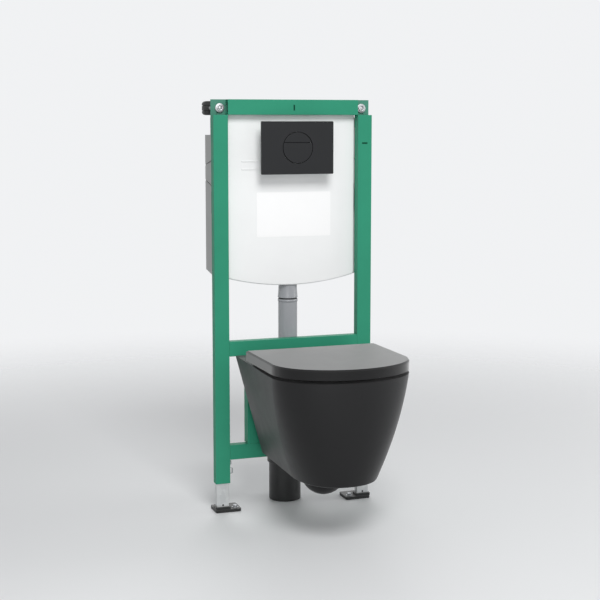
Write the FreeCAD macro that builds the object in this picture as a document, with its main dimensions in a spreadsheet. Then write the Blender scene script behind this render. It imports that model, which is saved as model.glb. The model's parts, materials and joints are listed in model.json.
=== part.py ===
import FreeCAD, Part
import math
import os
import Sketcher

# Wall-hung toilet frame: a steel pre-wall frame on telescopic legs that carries a concealed cistern,
# its flush plate, the flush and waste pipes, and the pan with its seat and lid.
# Millimetres, +Z up. The origin lies on the structural floor, midway between the two floor anchors.
# The front of the frame faces -Y and the building's wall stands behind it, towards +Y.

V = FreeCAD.Vector
AXIS_X = V(1, 0, 0)
AXIS_Y = V(0, 1, 0)
AXIS_Z = V(0, 0, 1)

SIZES = {
    # steel frame
    "frame_width": 455.0,
    "frame_height": 1126.0,
    "post_width": 41.0,
    "post_depth": 25.0,
    "post_wall": 3.0,
    "post_lip": 9.0,
    "post_bottom": 80.5,
    "rail_height": 41.0,
    "mid_rail_top": 474.0,
    "low_rail_top": 187.0,
    "corner_plate": 3.0,
    "corner_lap": 34.0,
    "upright_outer": 136.0,
    "upright_width": 62.0,
    "upright_depth": 32.0,
    # feet
    "leg_clearance": 0.6,
    "leg_wall": 2.5,
    "leg_inside": 215.0,
    "foot_thickness": 8.0,
    "foot_out": 0.5,
    "foot_width": 72.0,
    "foot_front": 16.0,
    "foot_back": 44.0,
    "foot_corner": 6.0,
    "shoe_height": 7.0,
    "shoe_wall": 4.0,
    "shoe_clearance": 0.2,
    "anchor_spacing": 340.0,
    "anchor_radius": 5.5,
    "lock_height": 136.0,
    "lock_radius": 4.0,
    "lock_head_radius": 6.5,
    "lock_head": 5.0,
    "screw_clearance": 0.2,
    # fixings to the wall
    "wall_gap": 107.0,
    "wall_bolt_inset": 3.5,
    "wall_bolt_drop": 2.0,
    "wall_bolt_radius": 5.0,
    "wall_washer_radius": 12.2,
    "wall_washer": 2.5,
    "wall_head_radius": 9.5,
    "wall_head": 7.0,
    "wall_pad_size": 38.0,
    "wall_pad_depth": 20.0,
    "wall_pad_corner": 9.0,
    # cistern
    "cistern_clearance": 1.5,
    "cistern_gap": 5.0,
    "cistern_side": 436.0,
    "cistern_sag": 25.0,
    "cistern_corner": 9.0,
    "cistern_front_depth": 28.0,
    "tank_inset": 11.5,
    "tank_shoulder": 15.0,
    "tank_top_drop": 2.0,
    "tank_shoulder_drop": 49.0,
    "tank_height": 439.0,
    "tank_chamfer": 20.0,
    "tank_depth": 70.0,
    "groove_width": 4.0,
    "groove_depth": 2.5,
    "groove_drop": 153.5,
    "groove_back_gap": 41.0,
    "groove_front_gap": 72.0,
    "clip_height": 60.0,
    "clip_width": 16.0,
    "clip_outset": 5.0,
    "clip_drop": 230.0,
    # flush plate and its shaft
    "plate_width": 205.0,
    "plate_height": 142.0,
    "plate_thickness": 9.0,
    "plate_corner": 3.0,
    "plate_drop": 129.0,
    "plate_proud": 30.0,
    "button_radius": 43.0,
    "button_gap": 0.9,
    "button_thickness": 6.0,
    "button_chord": 14.0,
    "button_travel": 4.0,
    "button_room": 6.0,
    "stem_radius": 4.0,
    "stem_length": 24.0,
    "stem_clearance": 0.3,
    "shaft_width": 156.0,
    "shaft_height": 112.0,
    # flush and waste pipes
    "flush_axis": 56.0,
    "flush_radius": 26.5,
    "flush_bend": 58.0,
    "flush_level": 375.0,
    "sleeve_radius": 27.0,
    "sleeve_length": 71.0,
    "sleeve_inside": 11.0,
    "ring_radius": 25.5,
    "ring_height": 3.5,
    "collar_radius": 27.6,
    "collar_height": 6.5,
    "seal_radius": 37.0,
    "seal_thickness": 9.0,
    "seal_clearance": 0.2,
    "waste_axis": 57.5,
    "waste_radius": 45.0,
    "waste_wall": 3.0,
    "waste_bend_radius": 74.0,
    "waste_level": 241.0,
    "waste_socket_radius": 50.0,
    "waste_socket_bottom": 108.0,
    "waste_socket_height": 44.0,
    "bracket_top": 304.0,
    "bracket_thickness": 3.0,
    "bracket_clearance": 0.2,
    # pan and its fixings
    "pan_gap": 27.0,
    "pan_top": 440.0,
    "pan_bottom": 163.0,
    "pan_turn": 4.0,
    "pan_turn_in": 8.0,
    "pan_half": 178.0,
    "pan_low_half": 103.0,
    "pan_low_front_half": 109.0,
    "pan_curve": 343.0,
    "pan_reach": 476.0,
    "pan_low_curve": 289.0,
    "pan_low_reach": 428.0,
    "pan_low_pull": 0.88,
    "pan_belly": 0.5,
    "pan_belly_out": 13.0,
    "rim_side": 50.0,
    "rim_front": 30.0,
    "bowl_back": 196.0,
    "bowl_floor": 232.0,
    "bowl_floor_share": 0.5,
    "bowl_floor_back": 190.0,
    "trap_half": 60.0,
    "trap_drop": 67.0,
    "trap_centre": 228.0,
    "stud_spacing": 180.0,
    "stud_level": 343.0,
    "stud_radius": 6.0,
    "stud_sleeve_radius": 10.0,
    "stud_nut": 9.0,
    "stud_depth": 46.0,
    "stud_clearance": 0.2,
    # seat, lid and hinge
    "lid_side": 4.0,
    "lid_nose": 3.0,
    "lid_back": 135.0,
    "lid_lift": 6.0,
    "lid_height": 26.0,
    "lid_wall": 6.0,
    "lid_edge": 4.0,
    "seat_inset": 4.0,
    "seat_thickness": 16.0,
    "seat_back": 160.0,
    "seat_edge": 4.0,
    "seat_hole_side": 18.0,
    "seat_hole_front": 22.0,
    "seat_hole_back": 8.0,
    "bumper_radius": 9.0,
    "bumper_height": 4.0,
    "hinge_inset": 8.0,
    "hinge_height": 15.0,
    "hinge_spacing": 154.0,
    "hinge_post_radius": 7.0,
    "hinge_knuckle": 7.5,
    "hinge_pin": 4.0,
    "hinge_clearance": 0.08,
    "knuckle_width": 10.0,
    "knuckle_gap": 1.5,
    # how far a cutting shape stands past the face that it cuts
    "overcut": 1.0,
}


class Size:
    """A length together with the sheet expression that it comes from."""

    def __init__(self, value, text):
        self.value = float(value)
        self.text = text

    def __add__(self, other):
        other = as_size(other)
        return Size(self.value + other.value, "(%s + %s)" % (self.text, other.text))

    def __sub__(self, other):
        other = as_size(other)
        return Size(self.value - other.value, "(%s - %s)" % (self.text, other.text))

    def __mul__(self, other):
        other = as_size(other)
        return Size(self.value * other.value, "(%s * %s)" % (self.text, other.text))

    def __truediv__(self, other):
        other = as_size(other)
        return Size(self.value / other.value, "(%s / %s)" % (self.text, other.text))

    def __neg__(self):
        return self * -1


def as_size(number):
    if isinstance(number, Size):
        return number
    return Size(number, "(%r)" % float(number))


doc = FreeCAD.newDocument("toilet_frame")
sheet = doc.addObject("Spreadsheet::Sheet", "sizes")
NODES = []


class Sheet:
    """The driving sizes, each as an attribute of its own name."""


d = Sheet()
for row, (name, number) in enumerate(SIZES.items(), start=1):
    sheet.set("A%d" % row, name)
    sheet.set("B%d" % row, repr(number))
    sheet.setAlias("B%d" % row, name)
    setattr(d, name, Size(number, "sizes." + name))
doc.recompute()

# Places worked out from the driving sizes
ZERO = as_size(0)
half_width = d.frame_width / 2
post_half = d.post_depth / 2
front_plane = -post_half
back_plane = post_half
post_inner = half_width - d.post_width
post_centre = half_width - d.post_width / 2
post_top = d.frame_height - d.rail_height
corner_level = d.frame_height - d.rail_height / 2
wall_plane = back_plane + d.wall_gap
wall_bolt_x = post_centre - d.wall_bolt_inset
wall_bolt_level = corner_level - d.wall_bolt_drop
foot_outer = half_width + d.foot_out
foot_inner = foot_outer - d.foot_width
pan_back = front_plane - d.pan_gap
plate_front = front_plane - d.plate_proud
plate_back = plate_front + d.plate_thickness
cistern_face = back_plane
tank_front = cistern_face + d.cistern_front_depth
cistern_half = post_inner - d.cistern_clearance
tank_half = half_width - d.tank_inset
tank_shoulder_half = tank_half - d.tank_shoulder
cistern_top = post_top - d.cistern_gap
cistern_low = cistern_top - d.cistern_side
tank_top = cistern_top - d.tank_top_drop
tank_shoulder_level = cistern_top - d.tank_shoulder_drop
tank_bottom = cistern_top - d.tank_height
sleeve_top = tank_bottom + d.sleeve_inside
sleeve_bottom = sleeve_top - d.sleeve_length
plate_level = d.frame_height - d.plate_drop
flush_y = front_plane + d.flush_axis
waste_y = back_plane + d.waste_axis
mid_rail_bottom = d.mid_rail_top - d.rail_height
upright_inner = d.upright_outer - d.upright_width
hinge_y = front_plane - d.lid_back - d.hinge_inset
hinge_level = d.pan_top + d.hinge_height
seat_bottom = d.pan_top + d.bumper_height
seat_top = seat_bottom + d.seat_thickness
lid_bottom = d.pan_top + d.lid_lift
lid_top = lid_bottom + d.lid_height
lid_half = d.pan_half + d.lid_side
lid_reach = d.pan_reach + d.lid_nose
bowl_half = d.pan_half - d.rim_side
bowl_front = d.pan_reach - d.rim_front


def bind(obj, **sizes):
    for name, size in sizes.items():
        obj.setExpression(name, as_size(size).text)


def at(obj, x, y, z):
    obj.setExpression("Placement.Base.x", as_size(x).text)
    obj.setExpression("Placement.Base.y", as_size(y).text)
    obj.setExpression("Placement.Base.z", as_size(z).text)


def node(obj, name):
    obj.Label = name
    NODES.append((name, obj))
    return obj


def new_body(name):
    return node(doc.addObject("PartDesign::Body", name), name)


def new_sketch(body, role, level):
    """A sketch on one of the body's own origin planes, moved along that plane's normal by level."""
    plane = [p for p in body.Origin.OriginFeatures if p.Role == role][0]
    sketch = body.newObject("Sketcher::SketchObject", body.Name + "_sketch")
    sketch.AttachmentSupport = (plane, [""])
    sketch.MapMode = "FlatFace"
    sketch.setExpression("AttachmentOffset.Base.z", as_size(level).text)
    return sketch


def pin_point(sketch, geometry, point, x, y):
    for kind, size in (("DistanceX", as_size(x)), ("DistanceY", as_size(y))):
        index = sketch.addConstraint(Sketcher.Constraint(kind, -1, 1, geometry, point, size.value))
        sketch.setExpression("Constraints[%d]" % index, size.text)


def add_polygon(sketch, corners):
    corners = [(as_size(x), as_size(y)) for x, y in corners]
    first = sketch.GeometryCount
    count = len(corners)
    for i in range(count):
        start = corners[i]
        end = corners[(i + 1) % count]
        line = Part.LineSegment(V(start[0].value, start[1].value, 0), V(end[0].value, end[1].value, 0))
        sketch.addGeometry(line, False)
    for i in range(count):
        following = first + (i + 1) % count
        sketch.addConstraint(Sketcher.Constraint("Coincident", first + i, 2, following, 1))
    for i in range(count):
        pin_point(sketch, first + i, 1, *corners[i])


def add_box(sketch, x0, x1, y0, y1):
    add_polygon(sketch, [(x0, y0), (x1, y0), (x1, y1), (x0, y1)])


def add_circle(sketch, x, y, radius):
    x, y, radius = as_size(x), as_size(y), as_size(radius)
    index = sketch.addGeometry(Part.Circle(V(x.value, y.value, 0), AXIS_Z, radius.value), False)
    pin_point(sketch, index, 3, x, y)
    constraint = sketch.addConstraint(Sketcher.Constraint("Radius", index, radius.value))
    sketch.setExpression("Constraints[%d]" % constraint, radius.text)


def pad(body, sketch, length, backwards=False):
    feature = body.newObject("PartDesign::Pad", body.Name + "_pad")
    feature.Profile = sketch
    feature.setExpression("Length", as_size(length).text)
    feature.Reversed = backwards
    doc.recompute()
    return feature


def pocket(body, sketch, length, backwards=False):
    before = body.Shape.Volume
    feature = body.newObject("PartDesign::Pocket", body.Name + "_pocket")
    feature.Profile = sketch
    feature.setExpression("Length", as_size(length).text)
    feature.Reversed = backwards
    doc.recompute()
    if not body.Shape.Volume < before:
        raise RuntimeError("the pocket in %s cuts nothing" % body.Label)
    return feature


def round_edges(body, feature, picks, radius):
    """Round the edges of the body's last feature for which picks(edge) is true."""
    names = ["Edge%d" % (i + 1) for i, edge in enumerate(feature.Shape.Edges) if picks(edge)]
    if not names:
        raise RuntimeError("no edge to round in %s" % body.Label)
    fillet = body.newObject("PartDesign::Fillet", body.Name + "_fillet")
    fillet.Base = (feature, names)
    fillet.setExpression("Radius", as_size(radius).text)
    doc.recompute()
    return fillet


def along(edge, axis):
    """Whether a straight edge runs along an axis."""
    if not isinstance(edge.Curve, Part.Line):
        return False
    return abs(edge.Curve.Direction.dot(axis)) > 0.999


TURNS = {
    "x": FreeCAD.Rotation(AXIS_Y, 90),
    "y": FreeCAD.Rotation(AXIS_X, -90),
    "z": FreeCAD.Rotation(),
}


def cylinder(axis, start, radius, length):
    """A round bar whose base centre is at start and which runs along +X, +Y or +Z."""
    bar = doc.addObject("Part::Cylinder", "bar")
    bar.Placement = FreeCAD.Placement(V(), TURNS[axis])
    bind(bar, Radius=radius, Height=length)
    at(bar, *start)
    return bar


def hex_bar(axis, start, radius, length):
    bar = doc.addObject("Part::Prism", "hexagon")
    bar.Polygon = 6
    bar.Placement = FreeCAD.Placement(V(), TURNS[axis])
    bind(bar, Circumradius=radius, Height=length)
    at(bar, *start)
    return bar


def block(start, length, width, height):
    solid = doc.addObject("Part::Box", "block")
    bind(solid, Length=length, Width=width, Height=height)
    at(solid, *start)
    return solid


def fuse(name, solids):
    joined = doc.addObject("Part::MultiFuse", name)
    joined.Shapes = solids
    joined.Refine = True
    return joined


def cut(name, base, tool):
    result = doc.addObject("Part::Cut", name)
    result.Base = base
    result.Tool = tool
    return result


def channel(width, depth, wall, lip):
    """Corners of a lipped channel section, open towards +depth, about its own centre."""
    a = as_size(width) / 2
    b = as_size(depth) / 2
    inner = a - wall
    mouth = a - lip
    floor = wall - b
    shelf = b - wall
    right = [(a, -b), (a, b), (mouth, b), (mouth, shelf), (inner, shelf), (inner, floor)]
    left = [(-u, v) for u, v in reversed(right)]
    return right + left


SIDES = (("left", -1), ("right", 1))


def make_posts():
    for side, sign in SIDES:
        body = new_body(side + "_post")
        sketch = new_sketch(body, "XY_Plane", d.post_bottom)
        section = channel(d.post_width, d.post_depth, d.post_wall, d.post_lip)
        add_polygon(sketch, [(post_centre * sign + u, v) for u, v in section])
        pad(body, sketch, post_top - d.post_bottom)
        hole = new_sketch(body, "YZ_Plane", post_inner * sign)
        add_circle(hole, ZERO, d.lock_height, d.lock_radius + d.screw_clearance)
        pocket(body, hole, d.post_wall, backwards=sign > 0)


def make_rail(name, top):
    body = new_body(name)
    sketch = new_sketch(body, "YZ_Plane", -post_inner)
    section = channel(d.rail_height, d.post_depth, d.post_wall, d.post_lip)
    middle = top - d.rail_height / 2
    add_polygon(sketch, [(v, middle + u) for u, v in section])
    pad(body, sketch, post_inner * 2)


def make_corner_plates():
    for side, sign in SIDES:
        body = new_body(side + "_corner_plate")
        sketch = new_sketch(body, "XZ_Plane", -back_plane)
        outer = half_width * sign
        inner = post_inner * sign
        lap = (post_inner - d.corner_lap) * sign
        low = post_top - d.corner_lap
        add_polygon(sketch, [(outer, low), (inner, low), (inner, post_top), (lap, post_top),
                             (lap, d.frame_height), (outer, d.frame_height)])
        add_circle(sketch, wall_bolt_x * sign, wall_bolt_level, d.wall_bolt_radius + d.screw_clearance)
        pad(body, sketch, d.corner_plate, backwards=True)


def make_uprights():
    for side, sign in SIDES:
        body = new_body(side + "_stud_upright")
        sketch = new_sketch(body, "XY_Plane", d.low_rail_top)
        section = channel(d.upright_width, d.upright_depth, d.post_wall, d.post_lip)
        x = (d.upright_outer - d.upright_width / 2) * sign
        y = front_plane + d.upright_depth / 2
        add_polygon(sketch, [(x + u, y + v) for u, v in section])
        pad(body, sketch, mid_rail_bottom - d.low_rail_top)
        hole = new_sketch(body, "XZ_Plane", -front_plane)
        add_circle(hole, d.stud_spacing / 2 * sign, d.stud_level, d.stud_radius + d.stud_clearance)
        pocket(body, hole, d.post_wall)


def make_legs():
    leg_width = d.post_width - (d.post_wall + d.leg_clearance) * 2
    leg_depth = d.post_depth - (d.post_wall + d.leg_clearance) * 2
    half_w = leg_width / 2
    half_d = leg_depth / 2
    for side, sign in SIDES:
        x = post_centre * sign
        body = new_body(side + "_leg")
        sketch = new_sketch(body, "XY_Plane", d.foot_thickness)
        add_box(sketch, x - half_w, x + half_w, -half_d, half_d)
        bore_w = half_w - d.leg_wall
        bore_d = half_d - d.leg_wall
        add_box(sketch, x - bore_w, x + bore_w, -bore_d, bore_d)
        pad(body, sketch, d.post_bottom + d.leg_inside - d.foot_thickness)

        foot = new_body(side + "_foot_plate")
        base = new_sketch(foot, "XY_Plane", ZERO)
        add_box(base, foot_inner * sign, foot_outer * sign, -d.foot_front, d.foot_back)
        add_circle(base, d.anchor_spacing / 2 * sign, ZERO, d.anchor_radius)
        plate = pad(foot, base, d.foot_thickness)
        round_edges(foot, plate, lambda edge: along(edge, AXIS_Z), d.foot_corner)
        shoe = new_sketch(foot, "XY_Plane", d.foot_thickness)
        clear_w = half_w + d.shoe_clearance
        clear_d = half_d + d.shoe_clearance
        outer_w = clear_w + d.shoe_wall
        outer_d = clear_d + d.shoe_wall
        add_box(shoe, x - outer_w, x + outer_w, -outer_d, outer_d)
        add_box(shoe, x - clear_w, x + clear_w, -clear_d, clear_d)
        pad(foot, shoe, d.shoe_height)

        shank = d.post_wall + d.leg_clearance - d.screw_clearance
        tip = post_inner + shank
        if sign > 0:
            bar = cylinder("x", (post_inner, ZERO, d.lock_height), d.lock_radius, shank)
            head = hex_bar("x", (post_inner - d.lock_head, ZERO, d.lock_height),
                           d.lock_head_radius, d.lock_head)
        else:
            bar = cylinder("x", (-tip, ZERO, d.lock_height), d.lock_radius, shank)
            head = hex_bar("x", (-post_inner, ZERO, d.lock_height), d.lock_head_radius, d.lock_head)
        name = side + "_leg_lock_screw"
        node(fuse(name, [bar, head]), name)


def make_wall_fixings():
    pad_front = wall_plane - d.wall_pad_depth
    half = d.wall_pad_size / 2
    level = wall_bolt_level
    for side, sign in SIDES:
        x = wall_bolt_x * sign
        washer_front = back_plane - d.wall_washer
        head_front = washer_front - d.wall_head
        rod = cylinder("y", (x, back_plane, level), d.wall_bolt_radius,
                       wall_plane - d.wall_pad_depth / 2 - back_plane)
        washer = cylinder("y", (x, washer_front, level), d.wall_washer_radius, d.wall_washer)
        head = hex_bar("y", (x, head_front, level), d.wall_head_radius, d.wall_head)
        name = side + "_wall_bolt"
        node(fuse(name, [rod, washer, head]), name)

        body = new_body(side + "_wall_pad")
        sketch = new_sketch(body, "XZ_Plane", -pad_front)
        add_box(sketch, x - half, x + half, level - half, level + half)
        solid = pad(body, sketch, d.wall_pad_depth, backwards=True)
        round_edges(body, solid, lambda edge: along(edge, AXIS_Y), d.wall_pad_corner)
        hole = new_sketch(body, "XZ_Plane", -pad_front)
        add_circle(hole, x, level, d.wall_bolt_radius + d.screw_clearance)
        pocket(body, hole, d.wall_pad_depth / 2)


def make_cistern():
    body = new_body("cistern_front")
    sketch = new_sketch(body, "XZ_Plane", -cistern_face)
    w = cistern_half
    low = cistern_low
    sag = d.cistern_sag
    lines = [(-w, low, -w, cistern_top), (-w, cistern_top, w, cistern_top), (w, cistern_top, w, low)]
    for x0, y0, x1, y1 in lines:
        start = V(x0.value, y0.value, 0)
        end = V(x1.value, y1.value, 0)
        sketch.addGeometry(Part.LineSegment(start, end), False)
    radius = (w * w + sag * sag) / (sag * 2)
    rise = low - sag + radius
    lean = math.atan2(rise.value - low.value, w.value)
    circle = Part.Circle(V(0, rise.value, 0), AXIS_Z, radius.value)
    sketch.addGeometry(Part.ArcOfCircle(circle, math.pi + lean, math.pi * 2 - lean), False)
    sketch.addConstraint(Sketcher.Constraint("Coincident", 0, 2, 1, 1))
    sketch.addConstraint(Sketcher.Constraint("Coincident", 1, 2, 2, 1))
    sketch.addConstraint(Sketcher.Constraint("Coincident", 2, 2, 3, 2))
    sketch.addConstraint(Sketcher.Constraint("Coincident", 0, 1, 3, 1))
    pin_point(sketch, 0, 1, -w, low)
    pin_point(sketch, 0, 2, -w, cistern_top)
    pin_point(sketch, 2, 1, w, cistern_top)
    pin_point(sketch, 2, 2, w, low)
    index = sketch.addConstraint(Sketcher.Constraint("DistanceY", -1, 1, 3, 3, rise.value))
    sketch.setExpression("Constraints[%d]" % index, rise.text)
    solid = pad(body, sketch, d.cistern_front_depth, backwards=True)
    round_edges(body, solid, lambda edge: along(edge, AXIS_Y), d.cistern_corner)
    outlet = new_sketch(body, "XY_Plane", sleeve_bottom)
    add_circle(outlet, ZERO, flush_y, d.sleeve_radius + d.seal_clearance)
    pocket(body, outlet, sleeve_top - sleeve_bottom, backwards=True)

    tank = new_body("cistern_tank")
    outline = new_sketch(tank, "XZ_Plane", -tank_front)
    foot = tank_half - d.tank_chamfer
    heel = tank_bottom + d.tank_chamfer
    right = [(foot, tank_bottom), (tank_half, heel), (tank_half, tank_shoulder_level),
             (tank_shoulder_half, tank_shoulder_level), (tank_shoulder_half, tank_top)]
    left = [(-x, z) for x, z in reversed(right)]
    add_polygon(outline, right + left)
    pad(tank, outline, d.tank_depth, backwards=True)
    bore = new_sketch(tank, "XY_Plane", sleeve_bottom)
    add_circle(bore, ZERO, flush_y, d.sleeve_radius + d.seal_clearance)
    pocket(tank, bore, sleeve_top - sleeve_bottom, backwards=True)

    # a pair of moulded grooves on each flank, which spread apart towards the front
    groove_level = cistern_top - d.groove_drop
    groove_back = tank_front + d.tank_depth
    for side, sign in SIDES:
        grooves = new_sketch(tank, "YZ_Plane", tank_half * sign)
        for rise in (1, -1):
            near = groove_level + d.groove_front_gap / 2 * rise
            far = groove_level + d.groove_back_gap / 2 * rise
            add_polygon(grooves, [(tank_front, near), (groove_back, far),
                                  (groove_back, far + d.groove_width), (tank_front, near + d.groove_width)])
        pocket(tank, grooves, d.groove_depth, backwards=sign < 0)

    clip_x = post_centre + d.clip_outset
    clip_low = cistern_top - d.clip_drop - d.clip_height / 2
    for side, sign in SIDES:
        clip = block((clip_x * sign - d.clip_width / 2, back_plane, clip_low),
                     d.clip_width, d.cistern_front_depth, d.clip_height)
        node(clip, side + "_cistern_clip")


def make_flush_plate():
    level = plate_level
    half_w = d.plate_width / 2
    half_h = d.plate_height / 2
    body = new_body("flush_plate")
    sketch = new_sketch(body, "XZ_Plane", -plate_back)
    add_box(sketch, -half_w, half_w, level - half_h, level + half_h)
    solid = pad(body, sketch, d.plate_thickness)
    round_edges(body, solid, lambda edge: along(edge, AXIS_Y), d.plate_corner)
    hole = new_sketch(body, "XZ_Plane", -plate_back)
    add_circle(hole, ZERO, level, d.button_radius)
    pocket(body, hole, d.plate_thickness, backwards=True)

    shaft = new_body("access_shaft")
    outline = new_sketch(shaft, "XZ_Plane", -cistern_face)
    add_box(outline, -d.shaft_width / 2, d.shaft_width / 2,
            level - d.shaft_height / 2, level + d.shaft_height / 2)
    pad(shaft, outline, cistern_face - plate_back)
    room = new_sketch(shaft, "XZ_Plane", -plate_back)
    add_circle(room, ZERO, level, d.button_radius)
    pocket(shaft, room, d.button_room)
    stems = new_sketch(shaft, "XZ_Plane", -plate_back)
    reach = d.stem_length + d.button_travel
    for stem_level in stem_levels():
        add_circle(stems, ZERO, stem_level, d.stem_radius + d.stem_clearance)
    pocket(shaft, stems, reach)


def stem_levels():
    """Heights of the two push stems: the middle of the small and of the large button."""
    small = plate_level + (d.button_radius + d.button_chord) / 2
    large = plate_level - (d.button_radius - d.button_chord) / 2
    return small, large


def make_buttons():
    small_stem, large_stem = stem_levels()
    chord = plate_level + d.button_chord
    gap = d.button_gap
    wide = d.button_radius * 2
    for name, stem, low, high in (
        ("small_flush_button", small_stem, chord + gap / 2, plate_level + wide),
        ("large_flush_button", large_stem, plate_level - wide, chord - gap / 2),
    ):
        disc = cylinder("y", (ZERO, plate_front, plate_level), d.button_radius - gap, d.button_thickness)
        keep = block((-wide, plate_front - d.button_thickness, low), wide * 2, d.button_thickness * 3,
                     high - low)
        face = doc.addObject("Part::Common", name + "_face")
        face.Base = disc
        face.Tool = keep
        bar = cylinder("y", (ZERO, plate_front + d.button_thickness / 2, stem), d.stem_radius, d.stem_length)
        node(fuse(name, [face, bar]), name)


def elbow(prefix, y, top, level, bend, radius, end):
    """A vertical run, a quarter bend and a level run towards -Y, as one list of solids."""
    upper = cylinder("z", (ZERO, y, level + bend), radius, top - level - bend)
    quarter = doc.addObject("Part::Torus", prefix + "_bend")
    bind(quarter, Radius1=bend, Radius2=radius)
    quarter.Angle3 = 90
    quarter.Placement = FreeCAD.Placement(V(), FreeCAD.Rotation(V(0, 1, 0), V(0, 0, -1), V(-1, 0, 0), "XYZ"))
    at(quarter, ZERO, y - bend, level + bend)
    run = cylinder("y", (ZERO, end, level), radius, y - bend - end)
    return [upper, quarter, run]


def make_flush_pipe():
    sleeve = cylinder("z", (ZERO, flush_y, sleeve_bottom), d.sleeve_radius, sleeve_top - sleeve_bottom)
    node(sleeve, "outlet_sleeve")
    ring = cylinder("z", (ZERO, flush_y, sleeve_bottom - d.ring_height), d.ring_radius, d.ring_height)
    node(ring, "sleeve_ring")
    pipe_top = sleeve_bottom - d.ring_height
    solids = elbow("flush", flush_y, pipe_top, d.flush_level, d.flush_bend, d.flush_radius, pan_back)
    collar_low = pipe_top - d.collar_height
    solids.append(cylinder("z", (ZERO, flush_y, collar_low), d.collar_radius, d.collar_height))
    node(fuse("flush_pipe", solids), "flush_pipe")
    seal_start = (ZERO, pan_back, d.flush_level)
    outer = cylinder("y", seal_start, d.seal_radius, d.seal_thickness)
    inner = cylinder("y", seal_start, d.flush_radius + d.seal_clearance, d.seal_thickness)
    node(cut("flush_seal", outer, inner), "flush_seal")


def make_waste():
    socket_top = d.waste_socket_bottom + d.waste_socket_height
    bend = d.waste_bend_radius
    upper = cylinder("z", (ZERO, waste_y, d.waste_socket_bottom), d.waste_radius,
                     d.waste_level - bend - d.waste_socket_bottom)
    socket = cylinder("z", (ZERO, waste_y, d.waste_socket_bottom), d.waste_socket_radius,
                      d.waste_socket_height)
    quarter = doc.addObject("Part::Torus", "waste_quarter")
    bind(quarter, Radius1=bend, Radius2=d.waste_radius)
    quarter.Angle3 = 90
    quarter.Placement = FreeCAD.Placement(V(), FreeCAD.Rotation(V(0, 1, 0), V(0, 0, 1), V(1, 0, 0), "XYZ"))
    at(quarter, ZERO, waste_y - bend, d.waste_level - bend)
    node(fuse("waste_bend", [upper, socket, quarter]), "waste_bend")

    outer = cylinder("z", (ZERO, waste_y, ZERO), d.waste_radius, d.waste_socket_bottom)
    inner = cylinder("z", (ZERO, waste_y, ZERO), d.waste_radius - d.waste_wall, d.waste_socket_bottom)
    node(cut("waste_pipe", outer, inner), "waste_pipe")

    start = waste_y - bend
    run = cylinder("y", (ZERO, pan_back, d.waste_level), d.waste_radius, start - pan_back)
    node(run, "waste_connector")

    body = new_body("waste_bracket")
    sketch = new_sketch(body, "XZ_Plane", ZERO)
    add_box(sketch, -upright_inner, upright_inner, d.low_rail_top, d.bracket_top)
    add_circle(sketch, ZERO, d.waste_level, d.waste_radius + d.bracket_clearance)
    pad(body, sketch, d.bracket_thickness, backwards=True)


def make_pan_studs():
    web_back = front_plane + d.post_wall
    for side, sign in SIDES:
        x = d.stud_spacing / 2 * sign
        end = pan_back - d.stud_depth
        rod = cylinder("y", (x, end, d.stud_level), d.stud_radius, web_back + d.stud_nut - end)
        sleeve = cylinder("y", (x, pan_back, d.stud_level), d.stud_sleeve_radius, front_plane - pan_back)
        nut = hex_bar("y", (x, web_back, d.stud_level), d.stud_sleeve_radius, d.stud_nut)
        name = side + "_pan_stud"
        node(fuse(name, [rod, sleeve, nut]), name)


ELLIPSE = math.sqrt(0.5)


def quarter_curve(start, corner, end, pull=ELLIPSE):
    """A quarter bend from start to end that leaves both towards corner: elliptical, or squarer by pull."""
    curve = Part.BSplineCurve()
    curve.buildFromPolesMultsKnots([start, corner, end], [3, 3], [0.0, 1.0], False, 2, [1.0, pull, 1.0])
    return curve.toShape()


def d_wire(half, back, curve, reach, level, front_half=None, pull=ELLIPSE):
    """A D-shaped outline: straight back and sides, and one round front (towards -Y).

    The sides run from half at the back to front_half where the round begins.
    """
    front_half = half if front_half is None else front_half
    back_right = V(half, back, level)
    back_left = V(-half, back, level)
    side_right = V(front_half, curve, level)
    side_left = V(-front_half, curve, level)
    nose = V(0, reach, level)
    edges = [
        Part.makeLine(back_left, back_right),
        Part.makeLine(back_right, side_right),
        quarter_curve(side_right, V(front_half, reach, level), nose, pull),
        quarter_curve(nose, V(-front_half, reach, level), side_left, pull),
        Part.makeLine(side_left, back_left),
    ]
    return Part.Wire(edges)


def oval_wire(half, back, front, level):
    """An oval outline from four quarter ellipses."""
    middle = (back + front) / 2
    right = V(half, middle, level)
    left = V(-half, middle, level)
    nose = V(0, front, level)
    tail = V(0, back, level)
    edges = [
        quarter_curve(tail, V(half, back, level), right),
        quarter_curve(right, V(half, front, level), nose),
        quarter_curve(nose, V(-half, front, level), left),
        quarter_curve(left, V(-half, back, level), tail),
    ]
    return Part.Wire(edges)


def slab(wire, height):
    return Part.Face(wire).extrude(V(0, 0, height))


def bar(axis, start, radius, length):
    return Part.makeCylinder(radius, length, start, axis)


def depth(size):
    """The Y place of a depth that is measured forwards from the frame's front plane."""
    return front_plane.value - size.value


def shaped(name, shape):
    """A moulded piece whose surfaces are lofted from outlines of the sheet's sizes."""
    piece = doc.addObject("Part::Feature", name)
    piece.Shape = shape
    return node(piece, name)


def belly(low, high):
    """The size that a pan outline has at the height of its belly, between the two that it runs from."""
    return low + (high - low) * d.pan_belly


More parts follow.
